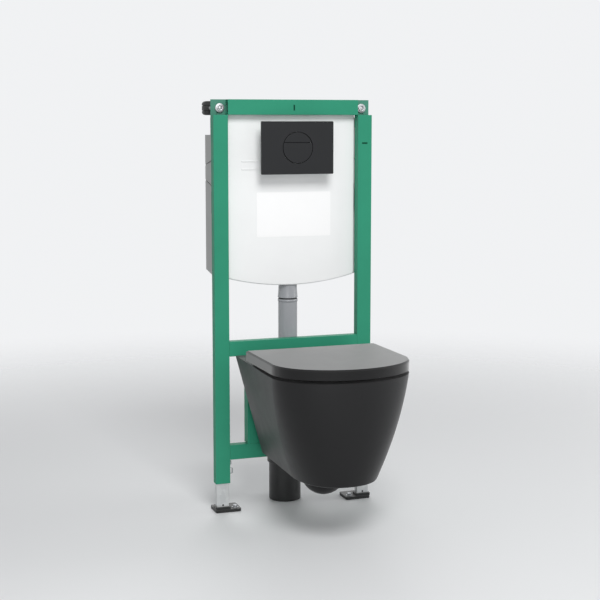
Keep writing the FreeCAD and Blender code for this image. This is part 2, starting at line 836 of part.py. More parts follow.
def make_pan():
    back = pan_back.value
    top = d.pan_top.value
    bottom = d.pan_bottom.value
    turn = d.pan_bottom + d.pan_turn
    pull = d.pan_low_pull
    out = d.pan_belly_out
    low = d_wire(d.pan_low_half.value, back, depth(d.pan_low_curve), depth(d.pan_low_reach), turn.value,
                 d.pan_low_front_half.value, pull.value)
    belly_front_half = belly(d.pan_low_front_half, d.pan_half) + out
    belly_pull = belly(pull, as_size(ELLIPSE))
    middle = d_wire(belly(d.pan_low_half, d.pan_half).value, back, depth(belly(d.pan_low_curve, d.pan_curve)),
                    depth(belly(d.pan_low_reach, d.pan_reach) + out), belly(turn, d.pan_top).value,
                    belly_front_half.value, belly_pull.value)
    rim = d_wire(d.pan_half.value, back, depth(d.pan_curve), depth(d.pan_reach), top)
    under = d_wire((d.pan_low_half - d.pan_turn_in).value, back, depth(d.pan_low_curve),
                   depth(d.pan_low_reach - d.pan_turn_in), bottom,
                   (d.pan_low_front_half - d.pan_turn_in).value, pull.value)
    walls = Part.makeLoft([low, middle, rim], True, False)
    turned_under = Part.makeLoft([under, low], True, True)
    half = d.trap_half.value
    drop = d.trap_drop.value
    radius = (half * half + drop * drop) / (drop * 2)
    trap = Part.makeSphere(radius, V(0, depth(d.trap_centre), bottom - drop + radius))
    pan = walls.fuse(turned_under).fuse(trap)

    floor_length = (bowl_front - d.bowl_back) * d.bowl_floor_share
    floor_half = bowl_half * d.bowl_floor_share
    floor_front = d.bowl_floor_back + floor_length
    bowl = Part.makeLoft([
        oval_wire(floor_half.value, depth(d.bowl_floor_back), depth(floor_front), d.bowl_floor.value),
        oval_wire(bowl_half.value, depth(d.bowl_back), depth(bowl_front), top),
    ], True, True)
    pan = pan.cut(bowl)
    stud_room = d.stud_depth + d.overcut * 2
    stud_end = pan_back - d.stud_depth - d.overcut
    for side, sign in SIDES:
        start = V(sign * d.stud_spacing.value / 2, stud_end.value, d.stud_level.value)
        radius = d.stud_radius.value + d.stud_clearance.value
        pan = pan.cut(bar(AXIS_Y, start, radius, stud_room.value))
    shaped("pan", pan.removeSplitter())


def knuckles(inner, width, rear):
    """A pair of hinge eyes on the hinge axis, each with a web that reaches forwards to its panel."""
    y = hinge_y.value
    z = hinge_level.value
    radius = d.hinge_knuckle.value
    solids = []
    for side, sign in SIDES:
        start = sign * inner if sign > 0 else -inner - width
        eye = bar(AXIS_X, V(start, y, z), radius, width)
        web = Part.makeBox(width, y - rear, radius, V(start, rear, z))
        solids.append(eye.fuse(web))
    return solids


def pin_bore(reach):
    radius = d.hinge_pin.value + d.hinge_clearance.value
    return bar(AXIS_X, V(-reach, hinge_y.value, hinge_level.value), radius, reach * 2)


def moulded_panel(half, rear, reach, bottom, top, edge):
    """A D-shaped panel whose upper edge is bevelled all round by edge."""
    shoulder = top - edge
    curve = depth(d.pan_curve)
    panel = slab(d_wire(half, rear, curve, reach, bottom), shoulder - bottom)
    bevel = Part.makeLoft([
        d_wire(half, rear, curve, reach, shoulder),
        d_wire(half - edge, rear - edge, curve, reach + edge, top),
    ], True, True)
    return panel.fuse(bevel)


def make_seat():
    inset = d.lid_wall + d.seat_inset
    outer_half = lid_half - inset
    rear = depth(d.seat_back)
    bottom = seat_bottom.value
    seat = moulded_panel(outer_half.value, rear, depth(lid_reach - inset), bottom, seat_top.value,
                         d.seat_edge.value)
    hole_half = bowl_half - d.seat_hole_side
    hole_back = d.bowl_back + d.seat_hole_back
    hole = oval_wire(hole_half.value, depth(hole_back), depth(bowl_front - d.seat_hole_front),
                     bottom - d.overcut.value)
    seat = seat.cut(slab(hole, (d.seat_thickness + d.overcut * 2).value))
    inner = d.hinge_spacing / 2 - d.hinge_post_radius - d.knuckle_gap - d.knuckle_width
    for solid in knuckles(inner.value, d.knuckle_width.value, rear - d.overcut.value):
        seat = seat.fuse(solid)
    seat = seat.cut(pin_bore(lid_half.value))
    spot_x = (hole_half + outer_half).value / 2
    for spot_y in (depth(d.pan_curve), depth(hole_back + d.lid_wall)):
        for side, sign in SIDES:
            start = V(sign * spot_x, spot_y, d.pan_top.value)
            seat = seat.fuse(bar(AXIS_Z, start, d.bumper_radius.value, d.bumper_height.value))
    shaped("seat_ring", seat.removeSplitter())


def make_lid():
    wall = d.lid_wall.value
    bottom = lid_bottom.value
    top = lid_top.value
    rear = depth(d.lid_back)
    lid = moulded_panel(lid_half.value, rear, depth(lid_reach), bottom, top, d.lid_edge.value)
    # the hollow underside is open towards the back, where the hinge stands
    hollow = d_wire(lid_half.value - wall, rear + d.overcut.value, depth(d.pan_curve),
                    depth(lid_reach) + wall, bottom - wall)
    lid = lid.cut(slab(hollow, top - bottom))
    inner = d.hinge_spacing.value / 2 + d.hinge_post_radius.value + d.knuckle_gap.value
    y = hinge_y.value
    z = hinge_level.value
    radius = d.hinge_knuckle.value
    width = d.knuckle_width.value
    for side, sign in SIDES:
        start = inner if sign > 0 else -inner - width
        eye = bar(AXIS_X, V(start, y, z), radius, width)
        web = Part.makeBox(width, radius * 2, top - wall - z, V(start, y - radius, z))
        lid = lid.fuse(eye).fuse(web)
    lid = lid.cut(pin_bore(lid_half.value - wall * 2))
    shaped("lid", lid.removeSplitter())


def make_hinge_posts():
    reach = d.hinge_post_radius + d.knuckle_gap + d.knuckle_width
    for side, sign in SIDES:
        x = d.hinge_spacing / 2 * sign
        post = cylinder("z", (x, hinge_y, d.pan_top), d.hinge_post_radius, hinge_level - d.pan_top)
        barrel = cylinder("x", (x - d.hinge_post_radius, hinge_y, hinge_level), d.hinge_knuckle,
                          d.hinge_post_radius * 2)
        pin = cylinder("x", (x - reach, hinge_y, hinge_level), d.hinge_pin, reach * 2)
        name = side + "_hinge_post"
        node(fuse(name, [post, barrel, pin]), name)


make_posts()
make_rail("top_rail", d.frame_height)
make_rail("mid_rail", d.mid_rail_top)
make_rail("low_rail", d.low_rail_top)
make_corner_plates()
make_uprights()
make_legs()
make_wall_fixings()
make_cistern()
make_flush_plate()
make_buttons()
make_flush_pipe()
make_waste()
make_pan_studs()
make_pan()
make_seat()
make_lid()
make_hinge_posts()
doc.recompute()

for obj in doc.Objects:
    if "Invalid" in obj.State or "Error" in obj.State:
        raise RuntimeError("%s did not build: %s" % (obj.Label, obj.State))
for name, obj in NODES:
    shape = obj.Shape
    if shape.isNull() or not shape.isValid() or not shape.Solids:
        raise RuntimeError("%s has no valid solid" % name)

os.makedirs("parts", exist_ok=True)
for name, obj in NODES:
    obj.Shape.exportStep("parts/%s.step" % name)
    box = obj.Shape.BoundBox
    print("%-24s solids %d  volume %9.0f  Z %.1f to %.1f" % (
        name, len(obj.Shape.Solids), obj.Shape.Volume, box.ZMin, box.ZMax))
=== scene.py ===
import json
import math

import bmesh
import bpy
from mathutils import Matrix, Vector

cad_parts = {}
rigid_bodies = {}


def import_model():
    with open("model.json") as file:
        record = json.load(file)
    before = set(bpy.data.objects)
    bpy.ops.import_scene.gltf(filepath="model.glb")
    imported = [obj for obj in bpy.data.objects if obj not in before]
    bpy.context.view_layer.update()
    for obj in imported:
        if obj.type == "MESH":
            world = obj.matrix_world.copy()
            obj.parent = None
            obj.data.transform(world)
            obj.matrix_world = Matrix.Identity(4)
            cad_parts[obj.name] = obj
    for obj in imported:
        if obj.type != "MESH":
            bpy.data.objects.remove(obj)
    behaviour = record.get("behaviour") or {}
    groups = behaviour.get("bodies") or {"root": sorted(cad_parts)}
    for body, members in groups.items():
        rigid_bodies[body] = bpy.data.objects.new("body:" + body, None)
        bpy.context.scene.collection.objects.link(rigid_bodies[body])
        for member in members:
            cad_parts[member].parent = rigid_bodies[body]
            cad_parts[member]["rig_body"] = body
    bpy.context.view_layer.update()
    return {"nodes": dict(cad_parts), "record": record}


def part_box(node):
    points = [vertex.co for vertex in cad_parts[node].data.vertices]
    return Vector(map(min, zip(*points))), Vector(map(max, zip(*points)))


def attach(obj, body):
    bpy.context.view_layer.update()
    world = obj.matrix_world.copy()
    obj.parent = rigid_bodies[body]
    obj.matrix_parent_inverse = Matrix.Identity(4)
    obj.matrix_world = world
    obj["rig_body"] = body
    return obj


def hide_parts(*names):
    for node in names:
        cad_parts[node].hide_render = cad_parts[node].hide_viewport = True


# Wall-hung toilet frame: the finishes of its steel, plastic, rubber and ceramic pieces, the moulded pan, seat
# and lid, the small fixings and marks, and a plain studio around it. Metres, +Z up, front towards -Y.

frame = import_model()
NODES = frame["nodes"]
SIDES = {"left": -1, "right": 1}
MM = 0.001


def mm(*lengths):
    """Lengths given in millimetres, in metres."""
    return tuple(length * MM for length in lengths)


def srgb(red, green, blue):
    """A colour given as 0 to 255 display values, in the linear values that shaders take."""
    linear = []
    for value in (red, green, blue):
        share = value / 255
        linear.append(share / 12.92 if share <= 0.04045 else ((share + 0.055) / 1.055) ** 2.4)
    return (*linear, 1.0)


# Shader helpers

def feed(tree, socket, value):
    """Link a socket to another one, or give it a plain value."""
    if isinstance(value, bpy.types.NodeSocket):
        tree.links.new(value, socket)
    else:
        socket.default_value = value


def put(tree, kind, inputs=None, **settings):
    """Add a node with its settings, and feed its inputs from plain values or other sockets."""
    node = tree.nodes.new(kind)
    for name, value in settings.items():
        setattr(node, name, value)
    for name, value in (inputs or {}).items():
        feed(tree, node.inputs[name], value)
    return node


def new_group(name, inputs, outputs):
    """An empty node group with named sockets; returns the group and its inner ends."""
    group = bpy.data.node_groups.new(name, "ShaderNodeTree")
    for label, kind, value in inputs:
        socket = group.interface.new_socket(name=label, in_out="INPUT", socket_type=kind)
        socket.default_value = value
    for label, kind in outputs:
        group.interface.new_socket(name=label, in_out="OUTPUT", socket_type=kind)
    start = group.nodes.new("NodeGroupInput")
    end = group.nodes.new("NodeGroupOutput")
    return group, start.outputs, end.inputs


FLOAT = "NodeSocketFloat"
COLOUR = "NodeSocketColor"


def make_cloud_tint():
    """Slow, slight change of a colour over a surface, as every real coating has."""
    group, given, result = new_group(
        "cloud_tint",
        [("Colour", COLOUR, (0.5, 0.5, 0.5, 1.0)), ("Scale", FLOAT, 8.0), ("Amount", FLOAT, 0.1)],
        [("Colour", COLOUR)])
    place = put(group, "ShaderNodeTexCoord")
    cloud = put(group, "ShaderNodeTexNoise",
                {"Vector": place.outputs["Object"], "Scale": given["Scale"],
                 "Detail": 4.0, "Roughness": 0.55})
    low = put(group, "ShaderNodeMath", {0: 1.0, 1: given["Amount"]}, operation="SUBTRACT")
    high = put(group, "ShaderNodeMath", {0: 1.0, 1: given["Amount"]}, operation="ADD")
    gain = put(group, "ShaderNodeMapRange",
               {"Value": cloud.outputs["Fac"], "From Min": 0.3, "From Max": 0.7,
                "To Min": low.outputs[0], "To Max": high.outputs[0]})
    tinted = put(group, "ShaderNodeVectorMath",
                 {0: given["Colour"], "Scale": gain.outputs["Result"]}, operation="SCALE")
    group.links.new(tinted.outputs["Vector"], result["Colour"])
    return group


def make_fine_grain():
    """The fine relief of a sprayed or moulded surface, and a patchy value that breaks up its gloss."""
    group, given, result = new_group(
        "fine_grain",
        [("Scale", FLOAT, 900.0), ("Patch Scale", FLOAT, 25.0), ("Low", FLOAT, 0.4), ("High", FLOAT, 0.5)],
        [("Height", FLOAT), ("Gloss", FLOAT)])
    place = put(group, "ShaderNodeTexCoord")
    grain = put(group, "ShaderNodeTexNoise",
                {"Vector": place.outputs["Object"], "Scale": given["Scale"],
                 "Detail": 2.0, "Roughness": 0.6})
    patch = put(group, "ShaderNodeTexNoise",
                {"Vector": place.outputs["Object"], "Scale": given["Patch Scale"],
                 "Detail": 5.0, "Roughness": 0.65})
    gloss = put(group, "ShaderNodeMapRange",
                {"Value": patch.outputs["Fac"], "From Min": 0.3, "From Max": 0.7,
                 "To Min": given["Low"], "To Max": given["High"]})
    group.links.new(grain.outputs["Fac"], result["Height"])
    group.links.new(gloss.outputs["Result"], result["Gloss"])
    return group


def make_worn_edges():
    """A mask along sharp outer edges, broken up as handling wears them."""
    group, given, result = new_group(
        "worn_edges", [("Radius", FLOAT, 0.002), ("Amount", FLOAT, 0.5)], [("Mask", FLOAT)])
    place = put(group, "ShaderNodeTexCoord")
    surface = put(group, "ShaderNodeNewGeometry")
    rounded = put(group, "ShaderNodeBevel", {"Radius": given["Radius"]}, samples=4)
    facing = put(group, "ShaderNodeVectorMath",
                 {0: surface.outputs["Normal"], 1: rounded.outputs["Normal"]}, operation="DOT_PRODUCT")
    turn = put(group, "ShaderNodeMapRange",
               {"Value": facing.outputs["Value"], "From Min": 0.995, "From Max": 0.90,
                "To Min": 0.0, "To Max": 1.0})
    chips = put(group, "ShaderNodeTexNoise",
                {"Vector": place.outputs["Object"], "Scale": 240.0, "Detail": 4.0, "Roughness": 0.7})
    broken = put(group, "ShaderNodeMapRange",
                 {"Value": chips.outputs["Fac"], "From Min": 0.45, "From Max": 0.75,
                  "To Min": 0.0, "To Max": 1.0})
    both = put(group, "ShaderNodeMath",
               {0: turn.outputs["Result"], 1: broken.outputs["Result"]}, operation="MULTIPLY")
    mask = put(group, "ShaderNodeMath",
               {0: both.outputs[0], 1: given["Amount"]}, operation="MULTIPLY", use_clamp=True)
    group.links.new(mask.outputs[0], result["Mask"])
    return group


def make_settled_dust():
    """A thin, patchy film of dust on faces that look up."""
    group, given, result = new_group("settled_dust", [("Amount", FLOAT, 0.1)], [("Mask", FLOAT)])
    place = put(group, "ShaderNodeTexCoord")
    surface = put(group, "ShaderNodeNewGeometry")
    parts = put(group, "ShaderNodeSeparateXYZ", {0: surface.outputs["Normal"]})
    up = put(group, "ShaderNodeMapRange",
             {"Value": parts.outputs["Z"], "From Min": 0.5, "From Max": 1.0, "To Min": 0.0, "To Max": 1.0})
    drift = put(group, "ShaderNodeTexNoise",
                {"Vector": place.outputs["Object"], "Scale": 30.0, "Detail": 6.0, "Roughness": 0.7})
    film = put(group, "ShaderNodeMath",
               {0: up.outputs["Result"], 1: drift.outputs["Fac"]}, operation="MULTIPLY")
    mask = put(group, "ShaderNodeMath", {0: film.outputs[0], 1: given["Amount"]}, operation="MULTIPLY")
    group.links.new(mask.outputs[0], result["Mask"])
    return group


GROUPS = {
    "cloud_tint": make_cloud_tint(),
    "fine_grain": make_fine_grain(),
    "worn_edges": make_worn_edges(),
    "settled_dust": make_settled_dust(),
}


def effect(tree, name, **inputs):
    """Place one of the shared effects in a material, with its own values."""
    node = tree.nodes.new("ShaderNodeGroup")
    node.node_tree = GROUPS[name]
    for label, value in inputs.items():
        feed(tree, node.inputs[label], value)
    return node.outputs


def new_finish(name):
    """A new material, its node tree and the sockets of its shader."""
    material = bpy.data.materials.new(name)
    material.use_nodes = True
    tree = material.node_tree
    return material, tree, tree.nodes["Principled BSDF"].inputs


# A Mix node has sockets for every kind of value; these are the ones for colours.
MIX_BASE = 6
MIX_OVER = 7
MIX_RESULT = 2


def blend_colour(tree, mask, base, over):
    """One colour laid over another as far as the mask says."""
    mix = put(tree, "ShaderNodeMix", {"Factor": mask, MIX_BASE: base, MIX_OVER: over}, data_type="RGBA")
    return mix.outputs[MIX_RESULT]


def relief(tree, height, strength, distance):
    """The normal of a surface that rises and falls with a height."""
    bump = put(tree, "ShaderNodeBump", {"Height": height, "Strength": strength, "Distance": distance})
    return bump.outputs["Normal"]


# Finishes

CLOUD_SCALE = 7.0
WEAR_RADIUS = 1.4 * MM
DUST_COLOUR = srgb(176, 174, 170)
GRAIN_DEPTH = 0.3 * MM
HAZE_ROUGHNESS = 0.35


def coated(name, colour, grain, rough, bump, tint=0.06, worn=None, wear=0.0, dust=0.0, shine=0.5, haze=0.0):
    """A sprayed or moulded finish: tinted colour, fine grain, patchy gloss, worn edges and a film of dust.

    Rough is the span of its roughness. Haze is the pale look that a soft matt face takes on when it is seen
    along its surface.
    """
    material, tree, shader = new_finish(name)
    shade = effect(tree, "cloud_tint", Colour=colour, Scale=CLOUD_SCALE, Amount=tint)["Colour"]
    if worn:
        mask = effect(tree, "worn_edges", Radius=WEAR_RADIUS, Amount=wear)["Mask"]
        shade = blend_colour(tree, mask, shade, worn)
    if dust:
        mask = effect(tree, "settled_dust", Amount=dust)["Mask"]
        shade = blend_colour(tree, mask, shade, DUST_COLOUR)
    low, high = rough
    surface = effect(tree, "fine_grain", Scale=grain, Low=low, High=high)
    tree.links.new(shade, shader["Base Color"])
    tree.links.new(surface["Gloss"], shader["Roughness"])
    tree.links.new(relief(tree, surface["Height"], bump, GRAIN_DEPTH), shader["Normal"])
    shader["Specular IOR Level"].default_value = shine
    shader["Sheen Weight"].default_value = haze
    shader["Sheen Roughness"].default_value = HAZE_ROUGHNESS
    return material


ZINC_DULL = srgb(194, 196, 197)
ZINC_PALE = srgb(208, 210, 210)
ZINC_CRYSTALS = 75.0
ZINC_GRAIN = 700.0
ZINC_BUMP = 0.08
ZINC_GRAIN_DEPTH = 0.2 * MM
ZINC_METALLIC = 0.6


def galvanised():
    """Hot-dip zinc: a mosaic of dull crystals."""
    material, tree, shader = new_finish("galvanised_steel")
    place = put(tree, "ShaderNodeTexCoord")
    crystals = put(tree, "ShaderNodeTexVoronoi", {"Vector": place.outputs["Object"], "Scale": ZINC_CRYSTALS})
    grey = put(tree, "ShaderNodeSeparateColor", {"Color": crystals.outputs["Color"]})
    shade = blend_colour(tree, grey.outputs["Red"], ZINC_DULL, ZINC_PALE)
    rough = put(tree, "ShaderNodeMapRange", {"Value": grey.outputs["Green"], "To Min": 0.30, "To Max": 0.40})
    surface = effect(tree, "fine_grain", Scale=ZINC_GRAIN)
    tree.links.new(shade, shader["Base Color"])
    tree.links.new(rough.outputs["Result"], shader["Roughness"])
    tree.links.new(relief(tree, surface["Height"], ZINC_BUMP, ZINC_GRAIN_DEPTH), shader["Normal"])
    shader["Metallic"].default_value = ZINC_METALLIC
    return material


TURNING_GRAIN = 1400.0
TURNING_BUMP = 0.05
TURNING_DEPTH = 0.1 * MM
PLATING_CLOUD_SCALE = 60.0
PLATING_TINT = 0.08


def plated(name, colour, rough):
    """Bright metal with faint turning marks."""
    material, tree, shader = new_finish(name)
    low, high = rough
    surface = effect(tree, "fine_grain", Scale=TURNING_GRAIN, Low=low, High=high)
    shade = effect(tree, "cloud_tint", Colour=colour, Scale=PLATING_CLOUD_SCALE, Amount=PLATING_TINT)
    tree.links.new(shade["Colour"], shader["Base Color"])
    tree.links.new(surface["Gloss"], shader["Roughness"])
    tree.links.new(relief(tree, surface["Height"], TURNING_BUMP, TURNING_DEPTH), shader["Normal"])
    shader["Metallic"].default_value = 1.0
    return material


FINISHES = {
    "green_steel": coated("green_powder_coat", srgb(49, 139, 110), grain=1100.0, rough=(0.42, 0.52),
                          bump=0.10, tint=0.05, worn=srgb(140, 186, 166), wear=0.5, dust=0.05, shine=0.14),
    "galvanised_steel": galvanised(),
    "zinc_plate": plated("zinc_plate", srgb(178, 180, 182), rough=(0.46, 0.56)),
    "black_steel": coated("black_steel_coat", srgb(24, 25, 25), grain=900.0, rough=(0.40, 0.52), bump=0.12,
                          tint=0.15, worn=srgb(96, 96, 94), wear=0.7, dust=0.25),
    "black_plastic": coated("black_moulded_plastic", srgb(26, 26, 27), grain=1600.0, rough=(0.42, 0.55),
                            bump=0.14, tint=0.10),
    "white_cistern": coated("white_cistern_plastic", srgb(237, 238, 238), grain=1300.0, rough=(0.34, 0.44),
                            bump=0.05, tint=0.015),
    "plate_black": coated("soft_black_plate", srgb(28, 29, 31), grain=2400.0, rough=(0.46, 0.56), bump=0.06,
                          tint=0.05, shine=0.25),
    "grey_pipe": coated("grey_pipe_plastic", srgb(153, 155, 159), grain=900.0, rough=(0.20, 0.27), bump=0.03,
                        tint=0.03),
    "black_rubber": coated("black_rubber", srgb(22, 22, 22), grain=1500.0, rough=(0.60, 0.75), bump=0.20,
                           tint=0.10),
    "black_pipe": coated("black_pipe_plastic", srgb(21, 22, 22), grain=800.0, rough=(0.30, 0.42), bump=0.05,
                         tint=0.10, dust=0.06),
    "pan_glaze": coated("matt_pan_glaze", srgb(24, 24, 25), grain=1500.0, rough=(0.44, 0.50), bump=0.02,
                        tint=0.05, shine=0.25, haze=0.15),
    "seat_black": coated("matt_seat", srgb(9, 9, 10), grain=1900.0, rough=(0.50, 0.56), bump=0.02,
                         tint=0.05, shine=0.25, haze=0.88),
    "hinge_metal": plated("hinge_metal", srgb(220, 221, 224), rough=(0.08, 0.16)),
}
# The corner plates' green: the powder coat darkened as painted shade for their recess.
SHADED_GREEN = coated("green_coat_painted_shade", srgb(58, 124, 104), grain=1100.0, rough=(0.50, 0.60), bump=0.10)
# The tank's foam: a pale grey of its own, darkened further as painted shade for its flanks.
SHADED_TANK_FOAM = coated("tank_foam_painted_shade", srgb(198, 199, 198), grain=500.0, rough=(0.75, 0.85), bump=0.25,
                   tint=0.03, shine=0.15)
MARK_INK = coated("dark_green_ink", srgb(2, 56, 38), grain=1100.0, rough=(0.50, 0.60), bump=0.05,
                  tint=0.02, shine=0.1)
LABEL_PAPER = coated("label_paper", srgb(246, 246, 246), grain=2600.0, rough=(0.30, 0.36), bump=0.03,
                     tint=0.01)
SLOT_OF = {row["node"]: row["material_slot"] for row in frame["record"]["subparts"]}
for name, piece in NODES.items():
    piece.data.materials.clear()
    piece.data.materials.append(FINISHES[SLOT_OF[name]])

# Mesh helpers

WELD = 0.001 * MM
FLAT_TURN = math.radians(0.5)
SHARP_TURN = math.radians(30)
QUARTER_TURN = math.pi / 2
HEX_HALF_TURN = math.pi / 6


def lerp(start, end, share):
    return start + (end - start) * share


def bow(start, pull, end, share):
    """A point on the curve that leaves start towards pull and comes to end from it."""
    return lerp(lerp(start, pull, share), lerp(pull, end, share), share)


def middle_of(node):
    low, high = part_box(node)
    return (low + high) / 2


def add_piece(name, shape, body, slot, finish=None, stands_for=()):
    """Make a finished surface into a piece that rides on a body and takes a slot's finish."""
    mesh = bpy.data.meshes.new(name)
    shape.to_mesh(mesh)
    shape.free()
    mesh.shade_smooth()
    mesh.materials.append(finish or FINISHES[slot])
    piece = bpy.data.objects.new(name, mesh)
    bpy.context.scene.collection.objects.link(piece)
    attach(piece, body)
    if stands_for:
        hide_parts(*stands_for)
    return piece


def closed(shape):
    """Turn every face of a closed surface outwards."""
    bmesh.ops.recalc_face_normals(shape, faces=shape.faces)
    return shape


def mark_sharp_edges(shape, weight=None):
    """Give each sharp edge its share of the rounding: the whole, or what weight(edge) says."""
    layer = shape.edges.layers.float.new("bevel_weight_edge")
    for edge in shape.edges:
        if len(edge.link_faces) == 2 and edge.calc_face_angle() > SHARP_TURN:
            edge[layer] = weight(edge) if weight else 1.0


def round_edges(piece, radius, segments=3):
    """Round the marked edges and keep the flats beside them flat."""
    bevel = piece.modifiers.new("rounded_edges", "BEVEL")
    bevel.limit_method = "WEIGHT"
    bevel.width = radius
    bevel.segments = segments
    flats = piece.modifiers.new("flat_faces", "WEIGHTED_NORMAL")
    flats.keep_sharp = True


def flat_round(first, seen):
    """The facets that lie flat with a first one and join on to it, and the edges that bound them."""
    flat = [first]
    seen.add(first)
    for face in flat:
        for edge in face.edges:
            for other in edge.link_faces:
                if other not in seen and other.normal.angle(first.normal) < FLAT_TURN:
                    seen.add(other)
                    flat.append(other)
    inside = set(flat)
    rims = [edge for face in flat for edge in face.edges if not all(f in inside for f in edge.link_faces)]
    return flat, rims


def is_one_loop(edges):
    """Whether edges run round in a single loop, so that the flat inside has no hole."""
    left = set(edges)
    reached = [left.pop()]
    for edge in reached:
        for vert in edge.verts:
            for other in vert.link_edges:
                if other in left:
                    left.remove(other)
                    reached.append(other)
    return not left


def join_flats(shape):
    """Join the facets of each flat without a hole into one face."""
    seen = set()
    seams = set()
    for face in shape.faces:
        if face not in seen:
            flat, rims = flat_round(face, seen)
            if is_one_loop(rims):
                seams.update(edge for facet in flat for edge in facet.edges)
                seams.difference_update(rims)
    bmesh.ops.dissolve_edges(shape, edges=[edge for edge in shape.edges if edge in seams])


def eased(node, radius, weight=None, segments=3, finish=None, reshape=None):
    """A solid's own surface: facets joined up, points moved by reshape and sharp edges rounded."""
    source = NODES[node]
    raw = bpy.data.meshes.new("raw_surface")
    raw.from_pydata([v.co for v in source.data.vertices], [], [f.vertices for f in source.data.polygons])
    shape = bmesh.new()
    shape.from_mesh(raw)
    bpy.data.meshes.remove(raw)
    bmesh.ops.remove_doubles(shape, verts=shape.verts, dist=WELD)
    join_flats(shape)
    if reshape:
        reshape(shape)
    mark_sharp_edges(shape, weight)
    piece = add_piece(node + "_eased", shape, source["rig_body"], SLOT_OF[node], finish, [node])
    round_edges(piece, radius, segments)


def skin(shape, rings, looped=False):
    """Join rings of points into one surface, capped at its ends or looped back to its first ring."""
    rows = [[shape.verts.new(point) for point in ring] for ring in rings]
    pairs = list(zip(rows, rows[1:]))
    if looped:
        pairs.append((rows[-1], rows[0]))
    count = len(rows[0])
    for low, high in pairs:
        for i in range(count):
            j = (i + 1) % count
            shape.faces.new((low[i], low[j], high[j], high[i]))
    if not looped:
        shape.faces.new(rows[0])
        shape.faces.new(rows[-1])


TURNED_ABOUT = {
    "x": (Vector((0, 1, 0)), Vector((0, 0, 1)), Vector((1, 0, 0))),
    "y": (Vector((0, 0, 1)), Vector((1, 0, 0)), Vector((0, 1, 0))),
    "z": (Vector((1, 0, 0)), Vector((0, 1, 0)), Vector((0, 0, 1))),
}


def turned(shape, base, axis, profile, columns=36, looped=False):
    """A turned form: profile rows are (radius, distance along the axis, half width across flats or none)."""
    u, v, w = TURNED_ABOUT[axis]
    rings = []
    for radius, along, *flat in profile:
        ring = []
        for i in range(columns):
            angle = 2 * math.pi * i / columns
            fold = (angle + HEX_HALF_TURN) % (2 * HEX_HALF_TURN) - HEX_HALF_TURN
            reach = min(radius, flat[0] / math.cos(fold)) if flat else radius
            ring.append(base + u * (reach * math.cos(angle)) + v * (reach * math.sin(angle)) + w * along)
        rings.append(ring)
    skin(shape, rings, looped)


DISC_RIM_CUT = 0.3
NUT_CHAMFER = 0.6
HEAD_CHAMFER = 0.7
HEAD_SEAT = 0.9
HEAD_TOP = 0.4
THREAD_CORE = 0.6
THREAD_ROOT = 0.25
THREAD_TIP = 0.75


def disc_profile(radius, start, end, edge):
    """Rows of a disc with softened rims."""
    cut = edge * DISC_RIM_CUT
    return [(radius - edge, start), (radius - cut, start + cut), (radius, start + edge),
            (radius, end - edge), (radius - cut, end - cut), (radius - edge, end)]


def nut_profile(flat, bore, start, end):
    """Rows of a hexagon nut with chamfered ends, round its bore."""
    corner = flat / math.cos(HEX_HALF_TURN)
    chamfer = (corner - flat) * NUT_CHAMFER
    return [(bore, start), (flat, start, flat), (corner, start + chamfer, flat),
            (corner, end - chamfer, flat), (flat, end, flat), (bore, end)]


def bolt_head_profile(flat, start, end):
    """Rows of a hexagon head with a chamfered top."""
    corner = flat / math.cos(HEX_HALF_TURN)
    chamfer = (corner - flat) * HEAD_CHAMFER
    return [(flat * HEAD_SEAT, start), (corner, start, flat), (corner, end - chamfer, flat),
            (flat, end, flat), (flat * HEAD_TOP, end)]


def thread_profile(radius, pitch, start, end):
    """Rows of a screw thread: sharp ridges with a blunted tip."""
    rows = [(radius - pitch, start)]
    for turn in range(int((end - start) / pitch)):
        rows.append((radius - pitch * THREAD_CORE, start + pitch * (turn + THREAD_ROOT)))
        rows.append((radius, start + pitch * (turn + THREAD_TIP)))
    rows.append((radius - pitch, end))
    return rows


# The pan: bowl, rim, bellied walls, turned-under foot and the trap below

BACK_STEPS = 6
SIDE_STEPS = 12
ROUND_STEPS = 24
ELLIPSE = math.sqrt(0.5)


def d_outline(half, back, curve, reach, level, front_half=None, pull=ELLIPSE):
    """Points round a D with a straight back and sides and a round front, from the middle of the back."""
    front_half = half if front_half is None else front_half
    right = [Vector((half * i / BACK_STEPS, back, level)) for i in range(BACK_STEPS)]
    for i in range(SIDE_STEPS):
        share = i / SIDE_STEPS
        right.append(Vector((lerp(half, front_half, share), lerp(back, curve, share), level)))
    for i in range(ROUND_STEPS + 1):
        share = i / ROUND_STEPS
        start, corner, end = (1 - share) ** 2, 2 * share * (1 - share) * pull, share ** 2
        whole = start + corner + end
        right.append(Vector((front_half * (start + corner) / whole,
                             (curve * start + reach * (corner + end)) / whole, level)))
    left = [Vector((-p.x, p.y, p.z)) for p in reversed(right[1:-1])]
    return right + left


# The rim stands out flush with the lid, and its outer edge falls away in front of the deck for the hinges.
PAN_CURVE = -355.5 * MM
PAN_RIM_SIDE = 3.5 * MM
PAN_RIM_NOSE = 2.0 * MM
PAN_RIM_FALL = 2.8 * MM
PAN_SHOULDER = 11.0 * MM
PAN_DECK_FRONT = -170.0 * MM
PAN_DECK_FADE = 100.0 * MM
PAN_EDGE = 4.0 * MM
PAN_EDGE_STEPS = 4
# The walls belly out between the rim and the foot, which turns under to a flat bottom.
PAN_LOW_HALF = 103.0 * MM
PAN_LOW_FRONT_HALF = 109.0 * MM
PAN_LOW_CURVE = -301.5 * MM
PAN_LOW_REACH = -440.5 * MM
PAN_LOW_LEVEL = 167.0 * MM
PAN_LOW_PULL = 0.88
PAN_BELLY_OUT = 13.0 * MM
PAN_WALL_STEPS = 16
PAN_BOTTOM = 163.0 * MM
PAN_TURN_IN = 8.0 * MM
PAN_TURN_PULL = 0.5
PAN_TURN_STEPS = 5
